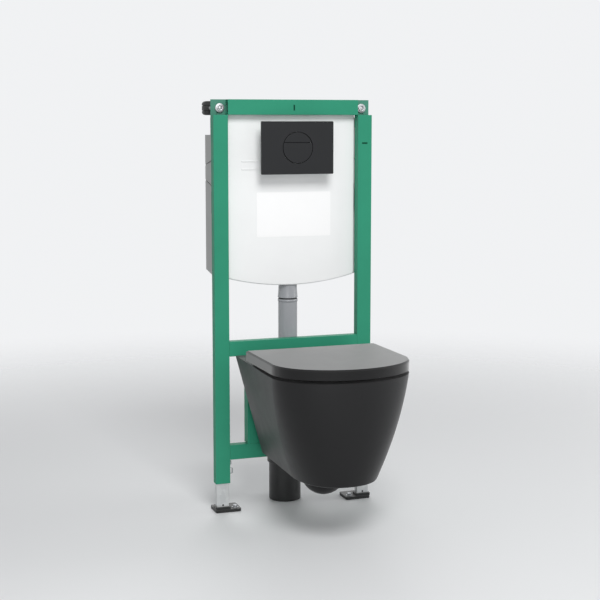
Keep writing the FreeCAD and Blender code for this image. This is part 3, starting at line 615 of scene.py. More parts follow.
# Shares of the bowl are shares of its width and length at the rim.
BOWL_HALF = 128.0 * MM
BOWL_BACK = -208.5 * MM
BOWL_FRONT = -458.5 * MM
BOWL_MIDDLE = (BOWL_BACK + BOWL_FRONT) / 2
BOWL_HALF_LENGTH = (BOWL_BACK - BOWL_FRONT) / 2
BOWL_FLOOR = 232.0 * MM
BOWL_FLOOR_MIDDLE = -265.0 * MM
BOWL_FLOOR_SHARE = 0.5
BOWL_WALL_SHARE = 0.62
BOWL_STEPS = 8
THROAT_DEPTH = 38.0 * MM
THROAT_FLOOR_SHARES = (0.10, 0.15)
THROAT_FOOT_SHARE = 0.19
THROAT_BEND_SHARE = 0.20
THROAT_LIP_SHARE = 0.28
THROAT_FOOT_DEPTH = 0.8 * THROAT_DEPTH
THROAT_STEPS = 5
# The trap is the cap of a ball that runs into the flat bottom with a round root.
TRAP_PLACE = Vector(mm(0.0, -240.5, 156.3))
TRAP_ROOT = 76.0 * MM
TRAP_BLEND = math.radians(25)
TRAP_LAST_RING = math.radians(86)
TRAP_ROOT_STEPS = 6
TRAP_STEPS = 8
BOTTOM_STEPS = 4


def bowl_rings(angles, top):
    """Rings from the bowl's throat out over its floor and up to its rim."""
    wall_low = lerp(BOWL_FLOOR, top, (BOWL_WALL_SHARE - BOWL_FLOOR_SHARE) / (1 - BOWL_FLOOR_SHARE))
    rows = [(share, BOWL_FLOOR - THROAT_DEPTH) for share in THROAT_FLOOR_SHARES]
    for i in range(THROAT_STEPS):
        step = i / THROAT_STEPS
        rows.append((bow(THROAT_FOOT_SHARE, THROAT_BEND_SHARE, THROAT_LIP_SHARE, step),
                     bow(BOWL_FLOOR - THROAT_FOOT_DEPTH, BOWL_FLOOR, BOWL_FLOOR, step)))
    for i in range(BOWL_STEPS + 1):
        step = i / BOWL_STEPS
        rows.append((bow(THROAT_LIP_SHARE, BOWL_FLOOR_SHARE, BOWL_WALL_SHARE, step),
                     bow(BOWL_FLOOR, BOWL_FLOOR, wall_low, step)))
    for i in range(1, BOWL_STEPS + 1):
        step = i / BOWL_STEPS
        rows.append((lerp(BOWL_WALL_SHARE, 1.0, step), lerp(wall_low, top, step)))
    rings = []
    for share, level in rows:
        sink = min(1.0, (1 - share) / (1 - BOWL_FLOOR_SHARE))
        centre = lerp(BOWL_MIDDLE, BOWL_FLOOR_MIDDLE, sink)
        half, length = BOWL_HALF * share, BOWL_HALF_LENGTH * share
        rings.append([Vector((half * math.sin(a), centre + length * math.cos(a), level)) for a in angles])
    return rings


def wall_rings(rim, belly, foot):
    """Rings down the wall, on the curve through the rim, the belly at half height and the foot."""
    rings = []
    for i in range(PAN_WALL_STEPS + 1):
        share = i / PAN_WALL_STEPS
        near, mid, far = (1 - share) * (1 - 2 * share), 4 * share * (1 - share), share * (2 * share - 1)
        rings.append([a * near + b * mid + c * far for a, b, c in zip(rim, belly, foot)])
    return rings


def turn_rings(foot, under):
    """Rings round the turn from the wall's foot to the flat bottom."""
    rings = []
    for i in range(1, PAN_TURN_STEPS + 1):
        ring = []
        for outer, inner in zip(foot, under):
            corner = Vector((outer.x, outer.y, inner.z))
            pull = lerp((outer + inner) / 2, corner, PAN_TURN_PULL)
            ring.append(bow(outer, pull, inner, i / PAN_TURN_STEPS))
        rings.append(ring)
    return rings


def trap_rings(outline):
    """Rings over the flat bottom, round the trap's root and down to its lowest point."""
    radius = TRAP_PLACE.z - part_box("pan")[0].z
    joined = (radius * math.cos(TRAP_BLEND), TRAP_PLACE.z - radius * math.sin(TRAP_BLEND))
    lean = joined[0] + (PAN_BOTTOM - joined[1]) * math.tan(TRAP_BLEND)
    rows = []
    for i in range(TRAP_ROOT_STEPS + 1):
        share = i / TRAP_ROOT_STEPS
        rows.append((bow(TRAP_ROOT, lean, joined[0], share), bow(PAN_BOTTOM, PAN_BOTTOM, joined[1], share)))
    for i in range(1, TRAP_STEPS + 1):
        angle = lerp(TRAP_BLEND, TRAP_LAST_RING, i / TRAP_STEPS)
        rows.append((radius * math.cos(angle), TRAP_PLACE.z - radius * math.sin(angle)))
    ways = [Vector((p.x - TRAP_PLACE.x, p.y - TRAP_PLACE.y, 0.0)).normalized() for p in outline]
    roots = [Vector((TRAP_PLACE.x, TRAP_PLACE.y, PAN_BOTTOM)) + way * TRAP_ROOT for way in ways]
    rings = []
    for i in range(1, BOTTOM_STEPS):
        rings.append([lerp(p, root, i / BOTTOM_STEPS) for p, root in zip(outline, roots)])
    for reach, level in rows:
        rings.append([Vector((TRAP_PLACE.x, TRAP_PLACE.y, level)) + way * reach for way in ways])
    return rings


def make_pan():
    low_corner, high_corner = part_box("pan")
    half, back, top = high_corner
    reach = low_corner.y
    nose = reach - PAN_RIM_NOSE
    front_half = half + PAN_RIM_SIDE
    rim = d_outline(half, back, PAN_CURVE, nose, top, front_half)
    shoulder = d_outline(half - PAN_SHOULDER, back - PAN_SHOULDER, PAN_CURVE, nose + PAN_SHOULDER, top,
                         front_half - PAN_SHOULDER)
    for point in rim:
        point.z -= PAN_RIM_FALL * min(1.0, max(0.0, (PAN_DECK_FRONT - point.y) / PAN_DECK_FADE))
    belly = d_outline((half + PAN_LOW_HALF) / 2, back, (PAN_CURVE + PAN_LOW_CURVE) / 2,
                      (reach + PAN_LOW_REACH) / 2 - PAN_BELLY_OUT, (top + PAN_LOW_LEVEL) / 2,
                      (half + PAN_LOW_FRONT_HALF) / 2 + PAN_BELLY_OUT, (ELLIPSE + PAN_LOW_PULL) / 2)
    foot = d_outline(PAN_LOW_HALF, back, PAN_LOW_CURVE, PAN_LOW_REACH, PAN_LOW_LEVEL,
                     PAN_LOW_FRONT_HALF, PAN_LOW_PULL)
    under = d_outline(PAN_LOW_HALF - PAN_TURN_IN, back, PAN_LOW_CURVE, PAN_LOW_REACH + PAN_TURN_IN,
                      PAN_BOTTOM, PAN_LOW_FRONT_HALF - PAN_TURN_IN, PAN_LOW_PULL)
    angles = [math.atan2(p.x / BOWL_HALF, (p.y - BOWL_MIDDLE) / BOWL_HALF_LENGTH) for p in rim]
    rings = bowl_rings(angles, top) + [shoulder]
    rings += wall_rings(rim, belly, foot) + turn_rings(foot, under) + trap_rings(under)
    shape = bmesh.new()
    skin(shape, rings)
    mark_sharp_edges(closed(shape))
    piece = add_piece("pan_body", shape, "frame", "pan_glaze", stands_for=["pan"])
    round_edges(piece, PAN_EDGE, PAN_EDGE_STEPS)


# Flush plate

PLATE_CORNER = 3.0 * MM
PLATE_CORNER_STEPS = 6
PLATE_SIDE_STEPS = 8
PLATE_EDGE = 0.9 * MM
BUTTON_HOLE = 43.0 * MM


def way_to(start, end):
    """1, 0 or -1: which way a coordinate runs."""
    return (end > start) - (end < start)


def plate_outline(half_width, half_height, corner):
    """Points round a rectangle with rounded corners, about its middle."""
    corners = [(half_width, -half_height), (half_width, half_height),
               (-half_width, half_height), (-half_width, -half_height)]
    points = []
    for turn, (x, z) in enumerate(corners):
        start = QUARTER_TURN * (turn - 1)
        middle = (x - math.copysign(corner, x), z - math.copysign(corner, z))
        for i in range(PLATE_CORNER_STEPS):
            angle = start + QUARTER_TURN * i / (PLATE_CORNER_STEPS - 1)
            points.append((middle[0] + corner * math.cos(angle), middle[1] + corner * math.sin(angle)))
        far = corners[(turn + 1) % 4]
        length = abs(far[0] - x) + abs(far[1] - z) - 2 * corner
        last = points[-1]
        for i in range(1, PLATE_SIDE_STEPS):
            step = length * i / PLATE_SIDE_STEPS
            points.append((last[0] + way_to(x, far[0]) * step, last[1] + way_to(z, far[1]) * step))
    return points


def make_flush_plate():
    low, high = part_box("flush_plate")
    middle = middle_of("flush_plate")
    outline = plate_outline((high.x - low.x) / 2, (high.z - low.z) / 2, PLATE_CORNER)
    hole = []
    for x, z in outline:
        angle = math.atan2(z, x)
        hole.append((BUTTON_HOLE * math.cos(angle), BUTTON_HOLE * math.sin(angle)))
    rings = []
    for points, y in ((hole, low.y), (outline, low.y), (outline, high.y), (hole, high.y)):
        rings.append([Vector((middle.x + x, y, middle.z + z)) for x, z in points])
    shape = bmesh.new()
    skin(shape, rings, looped=True)
    mark_sharp_edges(closed(shape))
    piece = add_piece("flush_plate_cover", shape, "frame", "plate_black", stands_for=["flush_plate"])
    round_edges(piece, PLATE_EDGE)


# Rounded copies of the plain solids; the radii in this table are in millimetres

EASED = {
    "left_post": 1.3, "right_post": 1.3, "top_rail": 1.3, "mid_rail": 1.3, "low_rail": 1.3,
    "left_stud_upright": 1.3, "right_stud_upright": 1.3,
    "left_leg": 1.0, "right_leg": 1.0, "left_foot_plate": 1.2, "right_foot_plate": 1.2,
    "left_cistern_clip": 1.2, "right_cistern_clip": 1.2,
    "access_shaft": 1.0, "sleeve_ring": 0.6, "flush_pipe": 1.6, "flush_seal": 2.0,
    "waste_bend": 1.5, "waste_pipe": 1.0, "waste_connector": 1.0, "waste_bracket": 0.8,
    "seat_ring": 1.6, "lid": 1.6, "left_hinge_post": 0.8, "right_hinge_post": 0.8,
}
CORNER_PLATE_EDGE = 0.8 * MM
BUTTON_EDGE = 1.2 * MM
BUTTON_RIM_SHARE = 0.95
BUTTON_DRAW_IN = 0.5 * MM
CISTERN_EDGE = 8.0 * MM
CISTERN_EDGE_STEPS = 5
CISTERN_BACK_EDGE_SHARE = 0.15
CISTERN_FACE_DEPTH = 0.1 * MM
CISTERN_CORNER = 9.0 * MM
CISTERN_TUCK = 22.0 * MM
TANK_EDGE = 1.0 * MM
TANK_GROOVE = 2.5 * MM
TANK_GROOVE_BACK = 0.8 * MM
TANK_GROOVE_FRONT = 26.0 * MM


def cistern_weight(edge):
    """The cistern's front rim is softly moulded; its other edges are tighter."""
    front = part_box("cistern_front")[0].y + CISTERN_FACE_DEPTH
    return 1.0 if all(v.co.y < front for v in edge.verts) else CISTERN_BACK_EDGE_SHARE


def raise_cistern_top(shape):
    """Draw the cistern's top up behind the rail, where it tucks in on the real one."""
    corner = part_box("cistern_front")[1].z - CISTERN_CORNER
    for vert in shape.verts:
        if vert.co.z > corner - WELD:
            vert.co.z += CISTERN_TUCK


def deepen_grooves(shape):
    """Slope the floors of the grooves in the tank's flanks: deep in front, running out at the back."""
    low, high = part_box("cistern_tank")
    for vert in shape.verts:
        sunk = high.x - abs(vert.co.x)
        if abs(sunk - TANK_GROOVE) < TANK_GROOVE / 2:
            depth = TANK_GROOVE_BACK if vert.co.y > (low.y + high.y) / 2 else TANK_GROOVE_FRONT
            vert.co.x = math.copysign(high.x - depth, vert.co.x)


def draw_in_button(shape):
    """Draw a button's round rim in by a hair, so that the line round it shows as on the real plate."""
    middle = middle_of("flush_plate")
    for vert in shape.verts:
        out = Vector((vert.co.x - middle.x, 0.0, vert.co.z - middle.z))
        if out.length > BUTTON_HOLE * BUTTON_RIM_SHARE:
            vert.co -= out.normalized() * BUTTON_DRAW_IN


def make_eased():
    for node, radius in EASED.items():
        eased(node, radius * MM)
    # The recessed corner plates take the green with painted shade.
    for side in SIDES:
        eased(side + "_corner_plate", CORNER_PLATE_EDGE, finish=SHADED_GREEN)
    for size in ("small", "large"):
        eased(size + "_flush_button", BUTTON_EDGE, reshape=draw_in_button)
    eased("cistern_front", CISTERN_EDGE, cistern_weight, CISTERN_EDGE_STEPS, reshape=raise_cistern_top)
    # The tank takes the foam grey with painted shade.
    eased("cistern_tank", TANK_EDGE, finish=SHADED_TANK_FOAM, reshape=deepen_grooves)


# Fixings; a hexagon's flat is half its width across flats

BOLT_RADIUS = 5.0 * MM
BOLT_PITCH = 1.5 * MM
BOLT_TIP_DEPTH = 1.0 * MM
BOLT_NUT_FLAT = 8.2 * MM
BOLT_NUT_HEIGHT = 3.5 * MM
BOLT_WASHER_RADIUS = 12.2 * MM
BOLT_WASHER_EDGE = 0.6 * MM


def make_wall_bolts():
    """A washer, a chamfered nut and a threaded rod that runs back into its wall pad."""
    for side in SIDES:
        low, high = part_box(side + "_wall_bolt")
        plate_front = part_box(side + "_corner_plate")[0].y
        pad = middle_of(side + "_wall_pad")
        base = Vector((pad.x, 0.0, pad.z))
        washer_face = low.y + BOLT_NUT_HEIGHT
        washer = disc_profile(BOLT_WASHER_RADIUS, washer_face, plate_front, BOLT_WASHER_EDGE)
        nut = nut_profile(BOLT_NUT_FLAT, BOLT_RADIUS, low.y, washer_face)
        rod = thread_profile(BOLT_RADIUS, BOLT_PITCH, low.y + BOLT_TIP_DEPTH, high.y)
        shape = bmesh.new()
        turned(shape, base, "y", washer, columns=48)
        turned(shape, base, "y", nut, looped=True)
        turned(shape, base, "y", rod, columns=24)
        add_piece(side + "_wall_bolt_set", closed(shape), "frame", "zinc_plate",
                  stands_for=[side + "_wall_bolt"])


ANCHOR_PLACE = 170.0 * MM
ANCHOR_FLAT = 5.6 * MM
ANCHOR_TOP = 7.4 * MM
ANCHOR_WASHER_RADIUS = 8.8 * MM
ANCHOR_WASHER_TOP = 1.8 * MM
ANCHOR_WASHER_EDGE = 0.5 * MM


def make_foot_anchors():
    """A hexagon head on a washer over each foot plate's anchor hole."""
    washer = disc_profile(ANCHOR_WASHER_RADIUS, 0.0, ANCHOR_WASHER_TOP, ANCHOR_WASHER_EDGE)
    head = bolt_head_profile(ANCHOR_FLAT, ANCHOR_WASHER_TOP, ANCHOR_TOP)
    for side, sign in SIDES.items():
        plate_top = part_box(side + "_leg")[0].z
        base = Vector((sign * ANCHOR_PLACE, 0.0, plate_top))
        shape = bmesh.new()
        turned(shape, base, "z", washer, columns=40)
        turned(shape, base, "z", head)
        add_piece(side + "_foot_anchor", closed(shape), "feet", "zinc_plate")


def post_inner_face(side):
    """Where the inner face of a post lies across the frame."""
    low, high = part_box(side + "_post")
    return high.x if SIDES[side] < 0 else low.x


LOCK_SCREW_FLAT = 5.6 * MM
LOCK_SCREW_HEAD = 5.0 * MM
LOCK_SCREW_RADIUS = 4.0 * MM
LOCK_SCREW_PITCH = 1.2 * MM
LOCK_SCREW_REACH = 3.3 * MM


def make_lock_screws():
    """The screw that clamps each leg: a hexagon head on the post's inner face and a thread to the leg."""
    head = bolt_head_profile(LOCK_SCREW_FLAT, 0.0, LOCK_SCREW_HEAD)
    thread = thread_profile(LOCK_SCREW_RADIUS, LOCK_SCREW_PITCH, 0.0, LOCK_SCREW_REACH)
    for side, sign in SIDES.items():
        node = side + "_leg_lock_screw"
        base = Vector((post_inner_face(side), 0.0, middle_of(node).z))
        shape = bmesh.new()
        turned(shape, base, "x", [(radius, -sign * along, *flat) for radius, along, *flat in head])
        turned(shape, base, "x", [(radius, sign * along) for radius, along in thread], columns=24)
        add_piece(side + "_lock_screw_set", closed(shape), "frame", "zinc_plate", stands_for=[node])


STUD_RADIUS = 6.0 * MM
STUD_PITCH = 1.75 * MM
STUD_SLEEVE_RADIUS = 10.0 * MM
STUD_SLEEVE_EDGE = 0.8 * MM
STUD_NUT_FLAT = 8.6 * MM
STUD_NUT_HEIGHT = 9.0 * MM


def make_pan_studs():
    """Threaded rods with a smooth sleeve in the gap behind the pan and a nut inside each upright."""
    pan_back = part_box("pan")[1].y
    frame_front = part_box("left_post")[0].y
    sleeve = disc_profile(STUD_SLEEVE_RADIUS, pan_back, frame_front, STUD_SLEEVE_EDGE)
    for side in SIDES:
        node = side + "_pan_stud"
        low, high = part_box(node)
        middle = middle_of(node)
        base = Vector((middle.x, 0.0, middle.z))
        nut = nut_profile(STUD_NUT_FLAT, STUD_RADIUS, high.y - STUD_NUT_HEIGHT, high.y)
        shape = bmesh.new()
        turned(shape, base, "y", thread_profile(STUD_RADIUS, STUD_PITCH, low.y, high.y), columns=24)
        turned(shape, base, "y", sleeve)
        turned(shape, base, "y", nut, looped=True)
        add_piece(side + "_pan_stud_set", closed(shape), "frame", "zinc_plate", stands_for=[node])


def strip(shape, path, across, width, thickness):
    """A flat strip bent along a path, as wide as width in the direction across."""
    rings = []
    for i, point in enumerate(path):
        way = (path[min(i + 1, len(path) - 1)] - path[max(i - 1, 0)]).normalized()
        side = across * (width / 2)
        out = way.cross(across) * (thickness / 2)
        rings.append([point + side + out, point + side - out, point - side - out, point - side + out])
    skin(shape, rings)


# Half a clip from its top to its middle, as (distance from the post's face, height above its middle)
CLIP_BENDS = (mm(0.6, 11.0), mm(1.2, 9.0), mm(4.5, 8.2), mm(9.0, 6.0))
CLIP_STAND = 9.0 * MM
CLIP_RISE = 33.0 * MM
CLIP_WIDTH = 9.0 * MM
CLIP_THICKNESS = 1.2 * MM
CLIP_EDGE = 0.3 * MM


def make_lock_clips():
    """A bent spring clip under each lock screw, on the post's inner face."""
    across = Vector((0.0, 1.0, 0.0))
    lower_bends = [(out, -rise) for out, rise in reversed(CLIP_BENDS)]
    bends = [*CLIP_BENDS, (CLIP_STAND, 0.0), *lower_bends]
    for side, sign in SIDES.items():
        face = post_inner_face(side)
        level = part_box(side + "_post")[0].z + CLIP_RISE
        path = [Vector((face - sign * out, 0.0, level + rise)) for out, rise in bends]
        shape = bmesh.new()
        strip(shape, path, across, CLIP_WIDTH, CLIP_THICKNESS)
        mark_sharp_edges(closed(shape))
        piece = add_piece(side + "_lock_clip", shape, "frame", "zinc_plate")
        round_edges(piece, CLIP_EDGE, segments=2)


PIN_RADIUS = 2.6 * MM
PIN_STAND = 1.0 * MM
PIN_EDGE = 0.5 * MM
PIN_RISE = 11.5 * MM


def make_leg_pins():
    """The dark stop pin that shows low on the front of each leg."""
    pin = disc_profile(PIN_RADIUS, -PIN_STAND, PIN_STAND, PIN_EDGE)
    for side in SIDES:
        node = side + "_leg"
        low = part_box(node)[0]
        base = Vector((middle_of(node).x, low.y, low.z + PIN_RISE))
        shape = bmesh.new()
        turned(shape, base, "y", pin, columns=28)
        add_piece(side + "_leg_pin", closed(shape), "feet", "black_plastic")


PAD_CORNER = 9.0 * MM
PAD_CORNER_STEPS = 6
PAD_SIDE_CORNER = 2.5 * MM
PAD_EDGE = 0.5 * MM
PAD_GROOVES = mm(12.3, 26.5)
PAD_GROOVE_DEPTH = 1.8 * MM
PAD_GROOVE_HALF = 1.1 * MM
PAD_GROOVE_FLOOR = PAD_GROOVE_HALF / 2


def pad_rows(height):
    """Rows of a wall pad from its top down, as (depth below the top, how far its faces are drawn in)."""
    rows = []
    for i in range(PAD_CORNER_STEPS + 1):
        turn = QUARTER_TURN * i / PAD_CORNER_STEPS
        rows.append((PAD_CORNER * (1 - math.cos(turn)), PAD_CORNER * (1 - math.sin(turn))))
    bottom = [(height - depth, inset) for depth, inset in reversed(rows)]
    for middle in PAD_GROOVES:
        rows.append((middle - PAD_GROOVE_HALF, 0.0))
        rows.append((middle - PAD_GROOVE_FLOOR, PAD_GROOVE_DEPTH))
        rows.append((middle + PAD_GROOVE_FLOOR, PAD_GROOVE_DEPTH))
        rows.append((middle + PAD_GROOVE_HALF, 0.0))
    return rows + bottom


def make_wall_pads():
    """Moulded pads between the frame and the building's wall, with two grooves round each."""
    for side in SIDES:
        node = side + "_wall_pad"
        low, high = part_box(node)
        middle = middle_of(node)
        width, depth, height = high - low
        rings = []
        for drop, inset in pad_rows(height):
            groove = inset if PAD_CORNER < drop < height - PAD_CORNER else 0.0
            outline = plate_outline(width / 2 - inset, depth / 2 - groove, PAD_SIDE_CORNER)
            rings.append([Vector((middle.x + x, middle.y + y, high.z - drop)) for x, y in outline])
        shape = bmesh.new()
        skin(shape, rings)
        mark_sharp_edges(closed(shape))
        piece = add_piece(node + "_ribbed", shape, "frame", "black_plastic", stands_for=[node])
        round_edges(piece, PAD_EDGE, segments=2)


# Flush fittings

PIPE_COLUMNS = 56
SLEEVE_BORE_IN = 5.0 * MM
SLEEVE_LIP_OUT = 0.7 * MM
# Rows of the sleeve's rounded lip, as (how far drawn in from the lip, height)
SLEEVE_LIP_ROWS = (mm(0.9, 0.0), mm(0.2, 0.4), mm(0.0, 1.2))
SLEEVE_FLARE_LOW = 2.2 * MM
SLEEVE_FLARE_PULL_IN = 1.2 * MM
SLEEVE_FLARE_STEPS = 8
SLEEVE_NECK_IN = 1.4 * MM
SLEEVE_NECK_RISE = 34.0 * MM
SLEEVE_NECK_STEPS = 3
SLEEVE_EDGE = 0.3 * MM
BEAD_TALL = 8.2 * MM
BEAD_BORE_IN = 2.0 * MM
BEAD_ROOT_IN = 0.6 * MM
BEAD_BULGE = 1.6 * MM
BEAD_STEPS = 10


def make_outlet_sleeve():
    """The sleeve under the cistern, with its flared foot."""
    low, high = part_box("outlet_sleeve")
    middle = middle_of("outlet_sleeve")
    radius = (high.x - low.x) / 2
    lip = radius + SLEEVE_LIP_OUT
    neck = radius - SLEEVE_NECK_IN
    flare_low = low.z + SLEEVE_FLARE_LOW
    neck_low = low.z + SLEEVE_NECK_RISE
    rows = [(radius - SLEEVE_BORE_IN, low.z)]
    rows += [(lip - drawn_in, low.z + rise) for drawn_in, rise in SLEEVE_LIP_ROWS]
    for i in range(SLEEVE_FLARE_STEPS + 1):
        share = i / SLEEVE_FLARE_STEPS
        rows.append((bow(lip, radius - SLEEVE_FLARE_PULL_IN, neck, share), lerp(flare_low, neck_low, share)))
    for i in range(1, SLEEVE_NECK_STEPS + 1):
        rows.append((neck, lerp(neck_low, high.z, i / SLEEVE_NECK_STEPS)))
    shape = bmesh.new()
    turned(shape, Vector((middle.x, middle.y, 0.0)), "z", rows, PIPE_COLUMNS)
    mark_sharp_edges(closed(shape))
    sleeve = add_piece("outlet_sleeve_flared", shape, "frame", "grey_pipe", stands_for=["outlet_sleeve"])
    round_edges(sleeve, SLEEVE_EDGE, segments=2)


def make_pipe_bead():
    """The round bead on the head of the flush pipe, as wide as the sleeve above it."""
    low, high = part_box("outlet_sleeve")
    middle = middle_of("outlet_sleeve")
    radius = (high.x - low.x) / 2
    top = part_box("flush_pipe")[1].z
    bore = radius - BEAD_BORE_IN
    rows = [(bore, top)]
    for i in range(BEAD_STEPS + 1):
        share = i / BEAD_STEPS
        rows.append((radius - BEAD_ROOT_IN + BEAD_BULGE * math.sin(math.pi * share), top - BEAD_TALL * share))
    rows.append((bore, top - BEAD_TALL))
    shape = bmesh.new()
    turned(shape, Vector((middle.x, middle.y, 0.0)), "z", rows, PIPE_COLUMNS, looped=True)
    add_piece("flush_pipe_bead", closed(shape), "frame", "grey_pipe")


# Lid buffers

LID_BUFFERS = (mm(138.0, -330.0), mm(55.0, -455.0))
LID_WALL = 6.0 * MM
BUFFER_RADIUS = 7.0 * MM
BUFFER_EDGE = 1.2 * MM
BUFFER_GAP = 0.4 * MM
BUFFER_ROOT = 0.5 * MM


def make_lid_buffers():
    """Four soft buffers under the lid, which close the gap to the seat."""
    seat_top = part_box("seat_ring")[1].z
    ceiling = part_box("lid")[1].z - LID_WALL
    buffer = disc_profile(BUFFER_RADIUS, seat_top + BUFFER_GAP, ceiling + BUFFER_ROOT, BUFFER_EDGE)
    shape = bmesh.new()
    for x, y in LID_BUFFERS:
        for sign in (-1, 1):
            turned(shape, Vector((sign * x, y, 0.0)), "z", buffer, columns=32)
    add_piece("lid_buffers", closed(shape), "lid", "black_rubber")


# Marks, ribs, the bare label and the dark bar of painted shade behind the buttons; places and sizes are
# across and up

SLIP_CORNER_STEPS = 5
STROKE_THICKNESS = 0.3 * MM
STROKE_CORNER = 0.3 * MM
RAIL_MARK_PLACE = mm(0.0, 1104.5)
RAIL_MARK_SIZE = mm(4.0, 15.5)
POST_MARK_PLACE = mm(206.5, 1008.0)
POST_MARK_SIZE = mm(16.0, 4.0)
LABEL_PLACE = mm(7.5, 814.5)
LABEL_SIZE = mm(214.0, 122.0)
LABEL_THICKNESS = 0.4 * MM
LABEL_CORNER = 3.0 * MM
RIB_PLACES = (mm(-112.0, 961.0), mm(-112.0, 939.5))
RIB_SIZE = mm(62.0, 5.0)
RIB_STAND = 1.6 * MM
RIB_CORNER = 2.4 * MM
RIB_EDGE = 0.8 * MM
BUTTON_WELL = 6.0 * MM
BAR_SIZE = mm(77.0, 9.0)
BAR_THICKNESS = 4.0 * MM
BAR_CORNER = 2.0 * MM
BAR_EDGE = 0.5 * MM


def slip_outline(middle, size, corner):
    """Points round a rectangle with rounded corners, as (x, z)."""
    right, left = middle[0] + size[0] / 2 - corner, middle[0] - size[0] / 2 + corner
    top, bottom = middle[1] + size[1] / 2 - corner, middle[1] - size[1] / 2 + corner
    outline = []
    for turn, (x, z) in enumerate(((right, top), (left, top), (left, bottom), (right, bottom))):
        for i in range(SLIP_CORNER_STEPS):
            angle = QUARTER_TURN * (turn + i / (SLIP_CORNER_STEPS - 1))
            outline.append((x + corner * math.cos(angle), z + corner * math.sin(angle)))
    return outline


def add_slip(name, slot, middle, face, size, thickness, corner, finish=None, edge=None):
    """A thin plate that stands forwards of a face of the frame, with its edges left sharp or rounded."""
    outline = slip_outline(middle, size, corner)
    shape = bmesh.new()
    skin(shape, [[Vector((x, y, z)) for x, z in outline] for y in (face - thickness, face)])
    closed(shape)
    if edge:
        mark_sharp_edges(shape)
    piece = add_piece(name, shape, "frame", slot, finish)
    if edge:
        round_edges(piece, edge, segments=2)
    else:
        piece.data.shade_flat()


def make_marks():
    """The strokes that mark the rail's middle and one metre on the post, the label and the two ribs."""
    rail_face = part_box("top_rail")[0].y
    post_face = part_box("right_post")[0].y
    cistern_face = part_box("cistern_front")[0].y
    add_slip("rail_centre_mark", "green_steel", RAIL_MARK_PLACE, rail_face, RAIL_MARK_SIZE,
             STROKE_THICKNESS, STROKE_CORNER, MARK_INK)
    add_slip("post_level_mark", "green_steel", POST_MARK_PLACE, post_face, POST_MARK_SIZE,
             STROKE_THICKNESS, STROKE_CORNER, MARK_INK)
    add_slip("cistern_label", "white_cistern", LABEL_PLACE, cistern_face, LABEL_SIZE,
             LABEL_THICKNESS, LABEL_CORNER, LABEL_PAPER)
    for i, place in enumerate(RIB_PLACES, start=1):
        add_slip("cistern_rib_%d" % i, "white_cistern", place, cistern_face, RIB_SIZE,
                 RIB_STAND, RIB_CORNER, edge=RIB_EDGE)


def make_button_shade_bar():
    """A dark bar across the well behind the buttons, put there as painted shade so that the line between the
    two reads dark.
    """
    well_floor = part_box("flush_plate")[1].y + BUTTON_WELL
    split = (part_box("small_flush_button")[0].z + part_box("large_flush_button")[1].z) / 2
    add_slip("button_shade_bar", "plate_black", (0.0, split), well_floor, BAR_SIZE,
             BAR_THICKNESS, BAR_CORNER, edge=BAR_EDGE)


make_pan()
make_flush_plate()
make_eased()
make_wall_bolts()
make_foot_anchors()
make_lock_screws()
make_pan_studs()
make_lock_clips()
make_leg_pins()
make_wall_pads()
make_outlet_sleeve()
make_pipe_bead()
make_lid_buffers()
make_marks()
make_button_shade_bar()


# Camera at the photograph's place, a pale floor that fades out, pale surroundings and four soft lamps

CAMERA_PLACE = (-1.1958, -3.3993, 1.0703)
CAMERA_YAW = math.radians(19.694)
CAMERA_DOWN = math.radians(6.990)
CAMERA_LENS = 79.100
CAMERA_SENSOR = 36.0
CAMERA_SHIFT = -0.03
FLOOR_RADIUS = 4.5
FLOOR_DROP = 0.5 * MM
FLOOR_COLOUR = srgb(226, 227, 228)
FLOOR_ROUGHNESS = 0.6
FLOOR_FADE_START = 0.9
FLOOR_FADE_END = 0.72 * FLOOR_RADIUS
SURROUND_COLOUR = (0.975, 0.985, 1.0, 1.0)
SURROUND_LIGHT = 0.30
SURROUND_SEEN = 0.90
# Each lamp's name, place, what it points at, width and height, and power in watts
LAMPS = (
    ("key", (-0.5, -3.3, 3.2), (0.0, 0.0, 0.6), (1.5, 1.5), 110.0),
    ("fill", (-1.3, -3.3, 1.3), (0.0, 0.0, 0.5), (1.8, 1.4), 20.0),
    ("side", (2.9, -0.7, 1.1), (0.0, -0.2, 0.4), (1.4, 1.4), 27.0),
    ("back", (0.6, 2.6, 2.6), (0.0, 0.0, 0.7), (1.6, 1.6), 22.0),
)


def make_camera():
    data = bpy.data.cameras.new("camera")
    data.lens = CAMERA_LENS
    data.sensor_width = CAMERA_SENSOR
    data.sensor_fit = "HORIZONTAL"
    data.shift_y = CAMERA_SHIFT
    camera = bpy.data.objects.new("camera", data)
    camera.location = CAMERA_PLACE
    camera.rotation_euler = (QUARTER_TURN - CAMERA_DOWN, 0.0, -CAMERA_YAW)
    bpy.context.scene.collection.objects.link(camera)
    bpy.context.scene.camera = camera


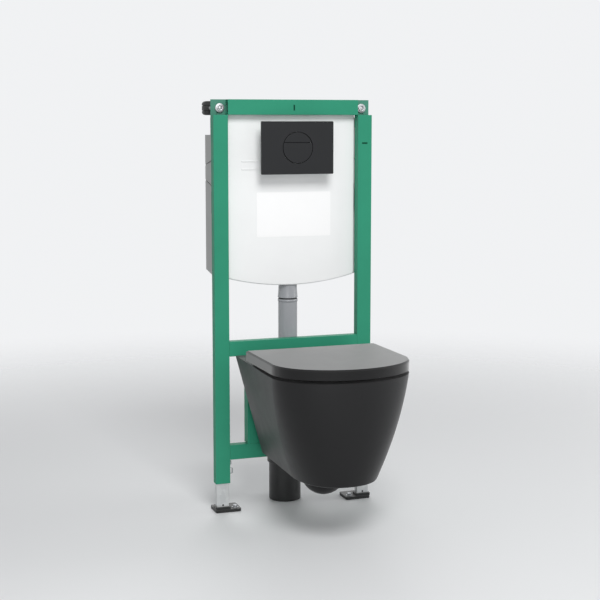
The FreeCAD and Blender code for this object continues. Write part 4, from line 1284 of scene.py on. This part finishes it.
def make_floor():
    mesh = bpy.data.meshes.new("floor")
    shape = bmesh.new()
    bmesh.ops.create_circle(shape, cap_ends=True, segments=96, radius=FLOOR_RADIUS)
    shape.to_mesh(mesh)
    shape.free()
    floor = bpy.data.objects.new("floor", mesh)
    floor.location = (0.0, 0.0, -FLOOR_DROP)
    bpy.context.scene.collection.objects.link(floor)
    material, tree, shader = new_finish("pale_floor")
    shader["Base Color"].default_value = FLOOR_COLOUR
    shader["Roughness"].default_value = FLOOR_ROUGHNESS
    place = put(tree, "ShaderNodeTexCoord")
    away = put(tree, "ShaderNodeVectorMath", {0: place.outputs["Object"]}, operation="LENGTH")
    fade = put(tree, "ShaderNodeMapRange",
               {"Value": away.outputs["Value"], "From Min": FLOOR_FADE_START, "From Max": FLOOR_FADE_END,
                "To Min": 0.0, "To Max": 1.0},
               interpolation_type="SMOOTHSTEP")
    clear = put(tree, "ShaderNodeBsdfTransparent")
    mix = put(tree, "ShaderNodeMixShader", {0: fade.outputs["Result"]})
    tree.links.new(tree.nodes["Principled BSDF"].outputs["BSDF"], mix.inputs[1])
    tree.links.new(clear.outputs["BSDF"], mix.inputs[2])
    tree.links.new(mix.outputs["Shader"], tree.nodes["Material Output"].inputs["Surface"])
    mesh.materials.append(material)


def make_world():
    """Pale surroundings: near white to the eye and in reflections, dimmer as a light."""
    world = bpy.data.worlds.new("studio")
    bpy.context.scene.world = world
    world.use_nodes = True
    tree = world.node_tree
    tree.nodes.clear()
    rays = put(tree, "ShaderNodeLightPath").outputs
    seen = put(tree, "ShaderNodeMath",
               {0: rays["Is Camera Ray"], 1: rays["Is Glossy Ray"]}, operation="MAXIMUM")
    seen = put(tree, "ShaderNodeMath",
               {0: seen.outputs[0], 1: rays["Is Transmission Ray"]}, operation="MAXIMUM")
    strength = put(tree, "ShaderNodeMapRange",
                   {"Value": seen.outputs[0], "To Min": SURROUND_LIGHT, "To Max": SURROUND_SEEN})
    light = put(tree, "ShaderNodeBackground",
                {"Color": SURROUND_COLOUR, "Strength": strength.outputs["Result"]})
    end = put(tree, "ShaderNodeOutputWorld")
    tree.links.new(light.outputs["Background"], end.inputs["Surface"])


def make_lamp(name, place, target, size, power):
    data = bpy.data.lights.new(name, "AREA")
    data.shape = "RECTANGLE"
    data.size, data.size_y = size
    data.energy = power
    lamp = bpy.data.objects.new(name, data)
    lamp.location = place
    lamp.rotation_euler = (Vector(target) - Vector(place)).to_track_quat("-Z", "Y").to_euler()
    bpy.context.scene.collection.objects.link(lamp)


make_camera()
make_floor()
make_world()
for lamp in LAMPS:
    make_lamp(*lamp)
bpy.context.scene.view_settings.view_transform = "Standard"
